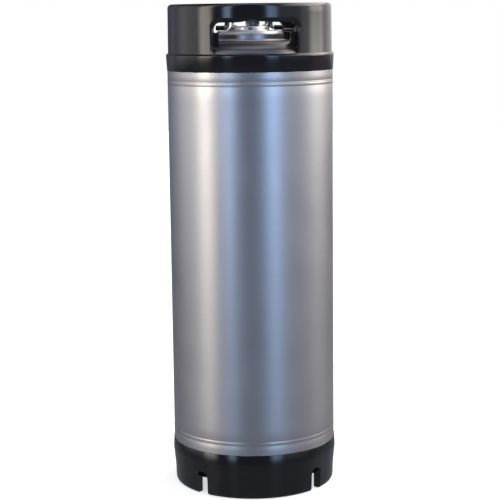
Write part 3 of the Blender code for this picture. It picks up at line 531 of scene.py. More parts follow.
def moulded_rubber():
    """Semi-gloss black rubber: flow marks round the ring, fine pits and pale scuffs."""
    made, tree, shader = material("moulded_black_rubber", (0.010, 0.010, 0.012), 0.0, 0.30,
                                  Specular_IOR_Level=0.48, Coat_Weight=0.28, Coat_Roughness=0.05)
    flow = noise(tree, around_the_axis(tree, 3.0, 55.0), detail=4.0)
    pits = noise(tree, object_space(tree, 1300.0), detail=2.0)
    waves = noise(tree, object_space(tree, 70.0), detail=3.0)
    scuffs = noise(tree, around_the_axis(tree, 24.0, 900.0), detail=5.0, roughness=0.7)
    tree.links.new(spread(tree, flow, 0.11, 0.17), shader.inputs["Roughness"])
    worn = spread(tree, scuffs, 0.0, 0.6, 0.62, 0.80)
    tree.links.new(blend_colour(tree, worn, (0.004, 0.004, 0.005), (0.026, 0.025, 0.025)),
                   shader.inputs["Base Color"])
    fine = bump(tree, shader, pits, 0.10, 0.00012)
    bump(tree, shader, waves, 0.10, 0.0006, fine)
    return made


def seal_rubber():
    """Dull black sealing rubber with a faint bloom."""
    made, tree, shader = material("sealing_rubber", (0.012, 0.012, 0.012), 0.0, 0.48)
    bloom = noise(tree, object_space(tree, 160.0), detail=4.0)
    tree.links.new(spread(tree, bloom, 0.40, 0.58), shader.inputs["Roughness"])
    tree.links.new(blend_colour(tree, spread(tree, bloom, 0, 1), (0.010, 0.010, 0.010),
                                (0.020, 0.020, 0.021)), shader.inputs["Base Color"])
    bump(tree, shader, noise(tree, object_space(tree, 1500.0)), 0.12, 0.0001)
    return made


STRAW = (0.56, 0.50, 0.42)
TANK_STEEL = brushed_steel("satin_tank_steel", (0.60, 0.60, 0.61), 0.36, 0.025,
                           ((UPPER_SEAM, 0.010, (0.55, 0.53, 0.51)),
                            (LOWER_SEAM, 0.010, (0.55, 0.53, 0.51))))
LID_STEEL = brushed_steel("pressed_lid_steel", (0.54, 0.54, 0.56), 0.30, 0.020)
# The top head inside the handle ring gets a very dark steel colour: painted shade of the ring's
# recess, not a finish of its own
SHADED_HEAD_STEEL = brushed_steel("painted_shade_head_steel", (0.19, 0.19, 0.21), 0.30, 0.025)
HATCH_STEEL = brushed_steel("pressed_hatch_steel", (0.54, 0.54, 0.56), 0.42, 0.020,
                            ((HATCH_LOW.z, 0.004, STRAW),))
WIRE_STEEL = bright_steel("drawn_wire_steel", (0.50, 0.50, 0.52), 0.20)
POST_STEEL = bright_steel("polished_fitting_steel", (0.64, 0.64, 0.66), 0.17)
SPRING_STEEL = bright_steel("spring_wire_steel", (0.52, 0.52, 0.54), 0.24)
WELD_STEEL = weld_steel()
RUBBER = moulded_rubber()
SEAL = seal_rubber()


def dress(made, cad_node, finish):
    """Gives a finished piece its material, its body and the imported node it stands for."""
    made.data.materials.clear()
    made.data.materials.append(finish)
    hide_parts(cad_node)
    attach(made, BODY_OF[cad_node])


def add_part(made, cad_node, finish):
    """As dress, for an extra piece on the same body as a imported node."""
    made.data.materials.clear()
    made.data.materials.append(finish)
    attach(made, BODY_OF[cad_node])


# Tank

def knuckle(grow_by, start, end, steps=14):
    return arc((RADIUS - KNUCKLE_WIDTH, CROWN - KNUCKLE_DEPTH), KNUCKLE_WIDTH + grow_by,
               KNUCKLE_DEPTH + grow_by, start, end, steps)


def dome(grow_by, start, end, steps=28):
    return arc((0, DOME_TOP), RADIUS + grow_by, DOME_TOP - DOME_LOW + grow_by, start, end, steps)


def joggle(seam, away):
    lapped = RADIUS - SHELL_WALL - CLEAR
    return rounded([
        (RADIUS, seam + away * 0.008), (RADIUS, seam + away * CLEAR, 0.0003),
        (lapped, seam + away * CLEAR), (lapped, seam - away * 0.008, 0.0004),
        (lapped - HEAD_WALL, seam - away * 0.008, 0.0004),
        (lapped - HEAD_WALL, seam + away * CLEAR, 0.001),
        (RADIUS - HEAD_WALL, seam + away * 0.003, 0.001),
        (RADIUS - HEAD_WALL, seam + away * 0.008)], closed=False, steps=3)


def tank_shell():
    """The rolled shell, very slightly proud where its ends were dressed after welding."""
    crown = 0.00022
    rows = []
    for seam, away in ((UPPER_SEAM, -1), (LOWER_SEAM, 1)):
        end = [(RADIUS - 0.0002, seam), (RADIUS + crown * 0.6, seam + away * 0.0006),
               (RADIUS + crown, seam + away * 0.0018), (RADIUS + crown * 0.7, seam + away * 0.0030),
               (RADIUS - crown * 0.5, seam + away * 0.0040), (RADIUS, seam + away * 0.0048)]
        rows.append(end)
    outer = rows[0] + [(RADIUS, UPPER_SEAM + (LOWER_SEAM - UPPER_SEAM) * k / 24)
                       for k in range(1, 24)] + rows[1][::-1]
    inside = RADIUS - SHELL_WALL
    made = lathe("rolled_tank_shell", outer + [(inside, LOWER_SEAM), (inside, UPPER_SEAM)])
    dress(made, "tank_shell", TANK_STEEL)


def top_head():
    crown = RADIUS - KNUCKLE_WIDTH
    outline = [(0, CROWN), (crown * 0.5, CROWN), *knuckle(0, 90, 0), *joggle(UPPER_SEAM, 1),
               *knuckle(-HEAD_WALL, 0, 90), (0, CROWN - HEAD_WALL)]
    head = lathe("dished_top_head", outline, closed=False)
    bore = HATCH_HIGH.x - 0.0082
    combine(head, lathe("hatch_hole", [(0, CROWN + 0.02), (bore, CROWN + 0.02),
                                       (bore, CROWN - 0.02), (0, CROWN - 0.02)],
                        oval=OVAL, closed=False))
    for side in (-1, 1):
        combine(head, lathe("spud_hole", [(0, CROWN + 0.02), (0.0078, CROWN + 0.02),
                                          (0.0078, CROWN - 0.02), (0, CROWN - 0.02)],
                            MEDIUM, (side * POST_X, 0), closed=False))
    dress(head, "top_head", TANK_STEEL)
    # The second, dark material on faces above the ring's lower edge is painted shade inside the
    # handle ring
    head.data.materials.append(SHADED_HEAD_STEEL)
    for face in head.data.polygons:
        face.material_index = int(face.center.z > RING_EDGE + 0.004)


def bottom_head():
    outline = [*dome(0, -90, 0), *joggle(LOWER_SEAM, -1), *dome(-HEAD_WALL, 0, -90)]
    outline[0] = (0, DOME_LOW)
    outline[-1] = (0, DOME_LOW + HEAD_WALL)
    made = lathe("dished_bottom_head", outline, closed=False)
    dress(made, "bottom_head", TANK_STEEL)


def hatch_ring():
    bore = HATCH_HIGH.x - 0.0082
    neck = bore + 0.0045
    low, high = HATCH_LOW.z, HATCH_HIGH.z
    outline = rounded([
        (bore, low), (HATCH_HIGH.x, low, 0.0002), (HATCH_HIGH.x, low + 0.0012, 0.0005),
        (neck + 0.0007, low + 0.0012, 0.0012), (neck, low + 0.0034, 0.002),
        (neck, high - 0.0040, 0.004), (bore + 0.0018, high, 0.0030), (bore, high, 0.0007)], steps=6)
    made = lathe("drawn_hatch_ring", outline, oval=OVAL)
    dress(made, "hatch_ring", HATCH_STEEL)


def welds():
    """Ripples at the two girth seams, round the hatch flange and round both spuds."""
    tree = weld_tree()
    seams = (
        ("upper_girth_weld", RADIUS - 0.00005, 0, 430, 0.0016, 0.00017, UPPER_SEAM, 0,
         "tank_shell"),
        ("lower_girth_weld", RADIUS - 0.00005, 0, 430, 0.0016, 0.00017, LOWER_SEAM, 0,
         "tank_shell"),
        ("hatch_weld", HATCH_HIGH.x - 0.0001, OVAL, 260, 0.0011, 0.0004, HATCH_LOW.z + 0.0002, 0.8,
         "hatch_ring"))
    for name, radius, stretch, count, width, height, level, lean, cad_node in seams:
        made = grow(name, tree, {
            "Radius": radius, "Stretch": stretch, "Count": count, "Ripple Width": width,
            "Ripple Height": height, "Middle": (0, 0, level), "Lean": lean,
            "Material": WELD_STEEL})
        add_part(made, cad_node, WELD_STEEL)
    for word, side in (("gas", -1), ("liquid", 1)):
        made = grow(f"{word}_spud_weld", tree, {
            "Radius": 0.0105, "Stretch": 0.0, "Count": 56, "Ripple Width": 0.0010,
            "Ripple Height": 0.0005, "Middle": (side * POST_X, 0, CROWN + 0.0003),
            "Lean": 0.8, "Material": WELD_STEEL})
        add_part(made, f"{word}_spud", WELD_STEEL)


# Rubber

def hold_outline(steps=8):
    """The hand hold's narrowest outline as seen from the front."""
    top = HOLD_TOP - 0.0020
    return rounded([
        (-HOLD_HALF, SILL, 0.0050), (HOLD_HALF, SILL, 0.0050), (HOLD_HALF, top, 0.0090),
        (-HOLD_HALF, top, 0.0090)], steps=steps)


def hold_cutter(name, side):
    """A tool for a hand hold whose outer edge is rounded evenly round the curved wall."""
    base = hold_outline()
    count = len(base)
    centre_z = (SILL + HOLD_TOP) / 2

    def ring(grown, depth):
        points = []
        for k in range(count):
            x, z = base[k]
            along = Vector(base[(k + 1) % count]) - Vector(base[k - 1])
            out = Vector((along.y, -along.x)).normalized()
            if out.dot(Vector((x, z - centre_z))) < 0:
                out = -out
            share = max(0.0, min(1.0, (z - SILL) / 0.006))
            reach = grown * HOLD_ROUND * (0.12 + 0.88 * share) * (1 + 0.8 * max(0.0, out.y))
            px, pz = x + out.x * reach, z + out.y * reach
            surface = math.sqrt(max(GRIP ** 2 - px ** 2, 0.0))
            points.append((px, side * (surface - depth * HOLD_ROUND), pz))
        return points

    draft = 1 - 0.0035 / HOLD_HALF
    rings = [[(x * draft, side * (RADIUS - 0.0280), z) for x, _, z in ring(0, 0)]]
    for quarter in range(5):
        turn = math.radians(22.5 * quarter)
        rings.append(ring(1 - math.cos(turn), 1 - math.sin(turn)))
    rings.append([(x, side * (RADIUS + 0.03), z) for x, _, z in rings[-1]])
    return loft(name, rings)


def ragged(made, level, reach, size):
    """Moulding flash: the edge at this height wanders slightly up and down."""
    for vert in made.data.vertices:
        if abs(vert.co.z - level) < reach:
            angle = math.atan2(vert.co.y, vert.co.x)
            wander = (math.sin(23 * angle + 1.3) + 0.7 * math.sin(57 * angle + 0.4)
                      + 0.9 * math.sin(91 * angle) * math.sin(7 * angle))
            vert.co.z += size * wander / 2.6


def top_rubber():
    """The handle ring with its two chamfered hand holds and four inner buttresses."""
    crease = SILL - 0.0003
    apron = RADIUS - 0.0245
    apron_z = CROWN + 0.0110
    start = math.degrees(math.acos((apron - RADIUS + KNUCKLE_WIDTH) / (KNUCKLE_WIDTH + CLEAR)))
    outline = rounded([
        (RADIUS + CLEAR, RING_EDGE), (RADIUS + 0.0004, RING_EDGE, 0.0001),
        (LEDGE - 0.0001, RING_EDGE + 0.0192, 0.004), (LEDGE - 0.0002, RING_EDGE + 0.0206, 0.0014),
        (GRIP + 0.0004, crease, 0.0010), (GRIP, RIM - 0.012), (GRIP, RIM, 0.0050),
        (GRIP_INNER, RIM, 0.0026), (GRIP_INNER + 0.0010, apron_z + 0.0015, 0.0030),
        (apron, apron_z - 0.0005, 0.0022)], closed=False, steps=5)
    inner_foot = [(apron, knuckle(CLEAR, start, start, 1)[0][1]), *knuckle(CLEAR, start, 0, 16)]
    ring = lathe("moulded_handle_ring", outline + inner_foot)
    for side, word in ((-1, "front"), (1, "back")):
        combine(ring, hold_cutter(f"{word}_hold", side))
        ends = sorted((side * (RADIUS - 0.0475), side * (RADIUS - 0.0275)))
        recess = rounded([(-0.0452, SILL - 0.0001), (0.0452, SILL - 0.0001),
                          (0.0452, CROWN + 0.033), (-0.0452, CROWN + 0.033)])
        combine(ring, prism(f"{word}_recess", recess, ends[0], ends[1], "Y"))
    for side in (-1, 1):
        pocket = lathe("pocket", [(0, CROWN + 0.033), (0.0262, CROWN + 0.033),
                                  (0.0262, CROWN - 0.017), (0, CROWN - 0.017)],
                       MEDIUM, (side * POST_X, 0), closed=False)
        combine(ring, pocket)
    ragged(ring, RING_EDGE, 0.0005, 0.00035)
    dress(ring, "top_rubber", RUBBER)


def bottom_rubber():
    """The boot with its four drain notches."""
    wall = RADIUS - 0.0013
    inner = wall - 0.0111
    shelf = RADIUS - 0.0280
    start = math.degrees(math.acos(shelf / (RADIUS + CLEAR)))
    outline = rounded([
        (RADIUS + CLEAR, BOOT_EDGE), (RADIUS + 0.0007, BOOT_EDGE, 0.0003),
        (LEDGE - 0.0001, BOOT_EDGE - 0.0135, 0.010), (LEDGE - 0.0003, BOOT_EDGE - 0.0150, 0.0014),
        (wall + 0.0002, BOOT_EDGE - 0.0400, 0.0020), (wall, 0.0085), (wall - 0.0006, 0, 0.0045),
        (inner, 0, 0.0012), (inner, DOME_TOP - 0.0370, 0.0030), (shelf, DOME_TOP - 0.0320, 0.0015)],
        closed=False, steps=5)
    seat = [dome(CLEAR, -start, -start, 1)[0], *dome(CLEAR, -start, 0, 16)[1:]]
    boot = lathe("moulded_boot", outline + seat)
    notch = rounded([(-0.0093, -0.02), (0.0093, -0.02), (0.0093, 0.0310, 0.0060),
                     (-0.0093, 0.0310, 0.0060)], steps=8)
    for turn in (45, 135, 225, 315):
        tool = prism("notch", notch, inner - 0.001, RADIUS + 0.02, "Y")
        tool.data.transform(Matrix.Rotation(math.radians(turn), 4, "Z"))
        combine(boot, tool)
    ragged(boot, BOOT_EDGE, 0.0005, 0.00030)
    dress(boot, "bottom_rubber", RUBBER)


# Lid, bail and relief valve

def lid():
    bore = HATCH_HIGH.x - 0.0082
    wall = bore - 0.0010
    inside = wall - 0.0015
    crown, top = LID_CROWN, CROWN + 0.0191
    dish = CROWN + 0.0137
    shelf = LID_LOW.z + 0.0015
    rim = bore + 0.0074
    outline = rounded([
        (0, top), (crown - 0.0040, top, 0.004), (crown + 0.0004, top - 0.0002, 0.0016),
        (crown + 0.0018, dish, 0.0014),
        (wall - 0.0036, dish - 0.0014, 0.004), (wall, dish - 0.0040, 0.0030),
        (wall, shelf, 0.0012), (rim - 0.0012, shelf, 0.0006),
        (rim - 0.0009, shelf + 0.0018, 0.0002),
        (rim, shelf + 0.0018, 0.0002), (rim, shelf - 0.0015, 0.0012),
        (inside, shelf - 0.0015, 0.0012), (inside, dish - 0.0052, 0.0020),
        (wall - 0.0042, dish - 0.0030, 0.003), (crown + 0.0006, dish - 0.0015, 0.0010),
        (crown - 0.0010, top - 0.0016, 0.0012), (0, top - 0.0016)], closed=False, steps=6)
    cover = oval_lid(outline)
    combine(cover, lathe("valve_hole", [(0, top + 0.02), (0.0068, top + 0.02), (0.0068, top - 0.02),
                                        (0, top - 0.02)], MEDIUM, (VALVE_X, 0), closed=False))
    dress(cover, "lid", LID_STEEL)


def oval_lid(outline):
    """The lid's profile turned; its oval stretch fades out towards the middle."""
    bm = bmesh.new()
    rows = []
    for radius, height in outline:
        row = []
        stretch = OVAL * min(1.0, radius / 0.0150)
        for k in range(LARGE):
            if radius < 1e-6:
                row = [bm.verts.new((0, 0, height))]
                break
            angle = math.tau * k / LARGE
            row.append(bm.verts.new((radius * math.cos(angle),
                                     (radius + stretch) * math.sin(angle), height)))
        rows.append(row)
    for upper, lower in zip(rows, rows[1:]):
        for k in range(LARGE):
            n = (k + 1) % LARGE
            if len(upper) == 1:
                bm.faces.new((upper[0], lower[k], lower[n]))
            elif len(lower) == 1:
                bm.faces.new((upper[k], lower[0], upper[n]))
            else:
                bm.faces.new((upper[k], lower[k], lower[n], upper[n]))
    bmesh.ops.recalc_face_normals(bm, faces=bm.faces[:])
    return piece("pressed_lid", bm)


def lid_seal():
    low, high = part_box("lid_oring")
    minor = (high.z - low.z) / 2
    section = arc((high.x - minor, low.z + minor), minor, minor, 0, 360, 20)[:-1]
    dress(lathe("lid_sealing_ring", section, oval=OVAL), "lid_oring", SEAL)


def bail_lugs():
    half = 0.0065
    for side, word in ((-1, "left"), (1, "right")):
        low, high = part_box(f"bail_lug_{word}")
        base = low.z
        height = PIVOT_Z - base
        ear = [(-0.009, base), (0.009, base), (0.009, base + 0.0010), (0.0078, base + 0.0016),
               (half, base + 0.0034),
               *[(half * math.cos(a), base + height + half * math.sin(a))
                 for a in (math.pi * k / 24 for k in range(25))],
               (-half, base + 0.0034), (-0.0078, base + 0.0016), (-0.009, base + 0.0010)]
        span = (high.x - 0.0025, high.x) if side > 0 else (low.x, low.x + 0.0025)
        lug = prism(f"pressed_bail_lug_{word}", ear, span[0], span[1], "X")
        foot_span = (low.x, span[1] - 0.0013) if side > 0 else (span[0] + 0.0013, high.x)
        foot = rounded([(foot_span[0], -0.0055, 0.0015), (foot_span[1], -0.0055, 0.0015),
                        (foot_span[1], 0.0055, 0.0015), (foot_span[0], 0.0055, 0.0015)])
        combine(lug, prism("lug_foot", foot, base, base + 0.0015), "UNION")
        hole = [(0.0021 * math.cos(a), PIVOT_Z + 0.0021 * math.sin(a))
                for a in (math.tau * k / 32 for k in range(32))]
        combine(lug, prism("lug_hole", hole, span[0] - 0.01, span[1] + 0.01, "X"))
        soften(lug, 0.00035)
        dress(lug, f"bail_lug_{word}", LID_STEEL)


def bail():
    arm = ARM_X
    foot_y = 0.0030
    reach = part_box("bail")[1].y - 0.0022
    grip_z = HATCH_HIGH.z + 0.0006
    half = [
        (HATCH_HIGH.x - 0.0055, foot_y, FOOT_Z), (arm + 0.0040, foot_y, FOOT_Z),
        (arm + 0.0009, 0.0028, FOOT_Z + 0.0011), (arm, 0.0016, FOOT_Z + 0.0045),
        (arm, 0, PIVOT_Z), (arm, 0.0012, PIVOT_Z + 0.0028), (arm, 0.0040, PIVOT_Z + 0.0040),
        (arm, 0.0085, PIVOT_Z + 0.0034), (arm, 0.0200, PIVOT_Z - 0.0008),
        (arm, reach - 0.0175, grip_z + 0.0032), (arm, reach - 0.0060, grip_z + 0.0007),
        (arm - 0.0017, reach - 0.0017, grip_z + 0.0001), (arm - 0.0060, reach, grip_z)]
    whole = half + [(-x, y, z) for x, y, z in reversed(half)]
    made = wire("bent_bail_wire", smooth_path(whole, 8), 0.0022)
    for side in (-1, 1):
        pin = [Vector((side * (ARM_X - gone), 0, PIVOT_Z)) for gone in (0.0090, 0.0058, 0.0002)]
        combine(made, wire("bail_pin", pin, 0.0018), "UNION")
    shade(made, 50.0)
    dress(made, "bail", WIRE_STEEL)


def bail_feet():
    """Rubber caps with three shallow grip rings and a rounded end."""
    for side, word in ((-1, "left"), (1, "right")):
        low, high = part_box(f"bail_foot_{word}")
        length = high.x - low.x
        radius = (high.z - low.z) / 2
        ribs = []
        for k in range(3):
            at = length * (0.28 + 0.16 * k)
            ribs += [(radius, at - 0.0005, 0.0002), (radius - 0.0004, at - 0.0002, 0.0002),
                     (radius - 0.0004, at + 0.0002, 0.0002), (radius, at + 0.0005, 0.0002)]
        outline = rounded([
            (0, length - 0.0011), (0.0024, length - 0.0011, 0.0004), (0.0024, 0, 0.0003),
            (radius, 0, 0.0008), *ribs, (radius, length, 0.0022), (0, length)],
            closed=False, steps=4)
        foot = lathe(f"bail_foot_cap_{word}", outline, MEDIUM, closed=False)
        start = low.x if side > 0 else high.x
        lie = Matrix.Rotation(side * math.pi / 2, 4, "Y")
        place = Matrix.Translation((start, (low.y + high.y) / 2, (low.z + high.z) / 2))
        foot.data.transform(place @ lie)
        dress(foot, f"bail_foot_{word}", RUBBER)


def chamfered_hex(name, across, low, high, centre_x, chamfer=0.0008, turn=90):
    """A hexagon whose corners are turned off at both ends."""
    made = prism(name, hexagon(across, turn), low, high, at=(centre_x, 0, 0))
    corner = across / math.sqrt(3)
    flat = across / 2
    outline = [(0, low - 0.001), (flat - 0.0002, low - 0.0001), (corner + 0.0004, low + chamfer),
               (corner + 0.0004, high - chamfer), (flat - 0.0002, high + 0.0001), (0, high + 0.001)]
    combine(made, lathe("turned_off", outline, MEDIUM, (centre_x, 0), closed=False), "INTERSECT")
    return made


def relief_valve():
    low = VALVE_LOW.z
    top = VALVE_HIGH.z
    hex_low = top - 0.0157
    hex_high = top - 0.0085
    ceiling = top - 0.0017
    turned = lathe("relief_valve_barrel", rounded([
        (0, low), (0.0065, low, 0.0005), (0.0065, hex_high - 0.001), (0.0076, hex_high - 0.001),
        (0.0076, hex_high + 0.0008, 0.0003), (0.0072, hex_high + 0.0012, 0.0002),
        (0.0072, top - 0.0036), (0.0067, top - 0.0032, 0.0002), (0.0067, top - 0.0027, 0.0002),
        (0.0072, top - 0.0023), (0.0072, top, 0.0009), (0, top)], closed=False), MEDIUM,
        (VALVE_X, 0), closed=False)
    body = chamfered_hex("turned_relief_valve", 0.0170, hex_low, hex_high, VALVE_X, turn=76)
    combine(body, turned, "UNION")
    bore = lathe("valve_bore", [
        (0, low - 0.01), (0.0030, low - 0.01), (0.0030, low + 0.0025), (0.0052, low + 0.0025),
        (0.0052, ceiling), (0.0024, ceiling), (0.0024, top + 0.01), (0, top + 0.01)], MEDIUM,
        (VALVE_X, 0), closed=False)
    combine(body, bore)
    vent_z = (hex_high + ceiling) / 2 + 0.001
    vent = [(0.0012 * math.cos(a), vent_z + 0.0012 * math.sin(a))
            for a in (math.tau * k / 24 for k in range(24))]
    for quarter in range(2):
        tool = prism("vent", vent, -0.012, 0.012, "Y")
        tool.data.transform(Matrix.Translation((VALVE_X, 0, 0))
                            @ Matrix.Rotation(math.pi * (0.25 + quarter / 2), 4, "Z"))
        combine(body, tool)
    shade(body, 30.0)
    dress(body, "relief_valve_body", POST_STEEL)
    nut_low, nut_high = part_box("relief_valve_nut")
    nut = chamfered_hex("relief_valve_lock_nut", 0.0190, nut_low.z, nut_high.z, VALVE_X)
    combine(nut, lathe("nut_thread", [(0, nut_low.z - 0.01), (0.0068, nut_low.z - 0.01),
                                      (0.0068, nut_high.z + 0.01), (0, nut_high.z + 0.01)], MEDIUM,
                       (VALVE_X, 0), closed=False))
    dress(nut, "relief_valve_nut", POST_STEEL)
    low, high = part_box("relief_valve_gasket")
    outer = (high.x - low.x) / 2
    made = lathe("relief_valve_washer", rounded([
        (0.0068, low.z, 0.0002), (outer, low.z, 0.0004), (outer, high.z, 0.0004),
        (0.0068, high.z, 0.0002)]), MEDIUM, (VALVE_X, 0))
    dress(made, "relief_valve_gasket", SEAL)


def relief_insides():
    low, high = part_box("relief_valve_stem")
    eye_z = high.z - 0.0030
    stem = lathe("relief_stem_rod", rounded([
        (0, low.z), (0.0046, low.z, 0.0003), (0.0046, low.z + 0.0017, 0.0003),
        (0.0018, low.z + 0.0017, 0.0003), (0.0018, eye_z - 0.0015), (0, eye_z - 0.0015)],
        closed=False), MEDIUM, (VALVE_X, 0), closed=False)
    disc = [(VALVE_X + 0.0030 * math.cos(a), eye_z + 0.0030 * math.sin(a))
            for a in (math.tau * k / 48 for k in range(48))]
    eye = prism("stem_eye", disc, -0.0011, 0.0011, "Y")
    hole = [(VALVE_X + 0.0015 * math.cos(a), eye_z + 0.0015 * math.sin(a))
            for a in (math.tau * k / 32 for k in range(32))]
    combine(eye, prism("eye_hole", hole, -0.01, 0.01, "Y"))
    soften(eye, 0.00035)
    combine(stem, eye, "UNION")
    dress(stem, "relief_valve_stem", POST_STEEL)
    low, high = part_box("relief_valve_seal")
    made = lathe("relief_valve_seat_washer", rounded([
        (0, low.z), (0.0044, low.z, 0.0003), (0.0044, high.z, 0.0003), (0, high.z)],
        closed=False), MEDIUM, (VALVE_X, 0), closed=False)
    dress(made, "relief_valve_seal", SEAL)
    return eye_z


def springs_and_split_ring(eye_z):
    """Everything wound from wire, from one tree."""
    tree = coil_tree()
    for cad_node, x, turns, joint, travel, fixed_end in (
            ("relief_valve_spring", VALVE_X, 7.25, "relief_lift", RELIEF_TRAVEL, 1),
            ("gas_poppet_spring", -POST_X, 6.25, "gas_poppet_press", POPPET_TRAVEL, 0),
            ("liquid_poppet_spring", POST_X, 6.25, "liquid_poppet_press", POPPET_TRAVEL, 0)):
        low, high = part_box(cad_node)
        wire_radius = 0.0005 if "relief" in cad_node else 0.0004
        made = grow(f"wound_{cad_node}", tree, {
            "Coil Radius": (high.x - low.x) / 2 - wire_radius, "Wire Radius": wire_radius,
            "Height": high.z - low.z - 2 * wire_radius, "Turns": turns,
            "Middle": (x, 0, low.z + wire_radius), "Tilt": (0, 0, 0), "Material": SPRING_STEEL})
        dress(made, cad_node, SPRING_STEEL)
        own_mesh(made)
    coil, thin, droop = 0.0085, 0.00055, math.radians(12)
    lie = Matrix.Rotation(droop, 3, "Y")
    middle = Vector((VALVE_X, 0, eye_z)) + lie @ Vector((coil, 0, -thin * 1.05))
    ring = grow("split_pull_ring", tree, {
        "Coil Radius": coil, "Wire Radius": thin, "Height": thin * 2.1, "Turns": 1.9,
        "Middle": tuple(middle), "Tilt": (0, droop, 0), "Material": POST_STEEL})
    dress(ring, "relief_valve_pull_ring", POST_STEEL)


# Posts

def posts():
    for word, side in (("gas", -1), ("liquid", 1)):
        x = side * POST_X
        post(word, x)
        spud(word, x)
        rings(word, x)
        poppet(word, x)
    dip_tubes()


def post(word, x):
    low, top = POST_LOW, POST_TOP
    hex_high = low + 0.0150
    groove_z = top - 0.0067
    ball_z = top - 0.0142
    turned = lathe("post_barrel", rounded([
        (0, hex_high - 0.002), (0.0087, hex_high - 0.002), (0.0087, ball_z - 0.0018, 0.0004),
        (0.0078, ball_z - 0.0004, 0.0008), (0.0078, ball_z + 0.0004, 0.0008),
        (0.0087, ball_z + 0.0018, 0.0004), (0.0087, groove_z - 0.0014, 0.0002),
        (0.0073, groove_z - 0.0014, 0.0003), (0.0073, groove_z + 0.0014, 0.0003),
        (0.0087, groove_z + 0.0014, 0.0002), (0.0087, top - 0.0012, 0.0006),
        (0.0081, top, 0.0004), (0, top)], closed=False), MEDIUM, (x, 0), closed=False)
    body = chamfered_hex(f"turned_{word}_post", 0.0222, low, hex_high, x, 0.0011)
    combine(body, turned, "UNION")
    if word == "gas":
        middle = (low + hex_high) / 2
        combine(body, lathe("corner_notch", [(0.0116, middle - 0.001), (0.02, middle - 0.001),
                                             (0.02, middle + 0.001), (0.0116, middle + 0.001)],
                            MEDIUM, (x, 0)))
    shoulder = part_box(f"{word}_dip_tube")[1].z + CLEAR
    lip = top - 0.0057
    combine(body, lathe("post_bore", [
        (0, low - 0.01), (0.0078, low - 0.01), (0.0078, shoulder), (0.0062, shoulder),
        (0.0062, lip), (0.0040, lip), (0.0040, top - 0.0006), (0.0046, top + 0.0002),
        (0.0046, top + 0.01), (0, top + 0.01)], MEDIUM, (x, 0), closed=False))
    shade(body, 30.0)
    dress(body, f"{word}_post", POST_STEEL)


def spud(word, x):
    low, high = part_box(f"{word}_spud")
    seat = CROWN + CLEAR
    pitch = 0.00135
    threads = []
    for k in range(6):
        at = seat + 0.0026 + pitch * k
        threads += [(0.0070, at), (0.0075, at + pitch * 0.5)]
    made = lathe(f"threaded_{word}_spud", rounded([
        (0.0044, low.z), (0.0075, low.z, 0.0004), (0.0075, seat), (0.0105, seat, 0.0002),
        (0.0105, seat + 0.0019, 0.0006), (0.0073, seat + 0.0019), *threads,
        (0.0070, high.z - 0.0004), (0.0068, high.z), (0.0044, high.z, 0.0003)]), MEDIUM, (x, 0))
    dress(made, f"{word}_spud", LID_STEEL)


def rings(word, x):
    for cad_node in (f"{word}_dip_tube_oring", f"{word}_post_oring", f"{word}_poppet_seal"):
        low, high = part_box(cad_node)
        minor = (high.z - low.z) / 2 * 1.04
        major = (high.x - low.x) / 2 - minor
        section = arc((major, (low.z + high.z) / 2), minor, minor, 0, 360, 16)[:-1]
        dress(lathe(f"{cad_node}_ring", section, MEDIUM, (x, 0)), cad_node, SEAL)


def poppet(word, x):
    low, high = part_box(f"{word}_poppet")
    flange_low = low.z + 0.0045
    made = lathe(f"turned_{word}_poppet", rounded([
        (0, low.z), (0.0020, low.z, 0.0004), (0.0020, flange_low), (0.0057, flange_low, 0.0003),
        (0.0057, flange_low + 0.0024, 0.0005), (0.0026, flange_low + 0.0024, 0.0003),
        (0.0026, high.z, 0.0008), (0, high.z)], closed=False), MEDIUM, (x, 0), closed=False)
    dress(made, f"{word}_poppet", POST_STEEL)


def tube_tree():
    """A tube with a wall, swept along the mesh line that it is given."""
    tree, start = new_tree("swept_tube", (
        ("Radius", "Float"), ("Wall", "Float"), ("Line", "Object"), ("Material", "Material")))
    line = node(tree, "GeometryNodeObjectInfo", {"Object": start.outputs["Line"]})
    curve = node(tree, "GeometryNodeMeshToCurve", {"Mesh": line.outputs["Geometry"]})
    outer = node(tree, "GeometryNodeCurvePrimitiveCircle", {
        "Resolution": 40, "Radius": start.outputs["Radius"]})
    swept = node(tree, "GeometryNodeCurveToMesh", {
        "Curve": curve.outputs[0], "Profile Curve": outer.outputs[0]})
    inward = node(tree, "ShaderNodeMath", {0: start.outputs["Wall"], 1: -1.0},
                  operation="MULTIPLY")
    skin = node(tree, "GeometryNodeExtrudeMesh", {
        "Mesh": swept.outputs[0], "Offset Scale": inward.outputs[0], "Individual": False})
    both = node(tree, "GeometryNodeJoinGeometry")
    tree.links.new(swept.outputs[0], both.inputs[0])
    tree.links.new(skin.outputs["Mesh"], both.inputs[0])
    merged = node(tree, "GeometryNodeMergeByDistance", {
        "Geometry": both.outputs[0], "Distance": 0.000002})
    close_tree(tree, merged.outputs[0], start)
    return tree


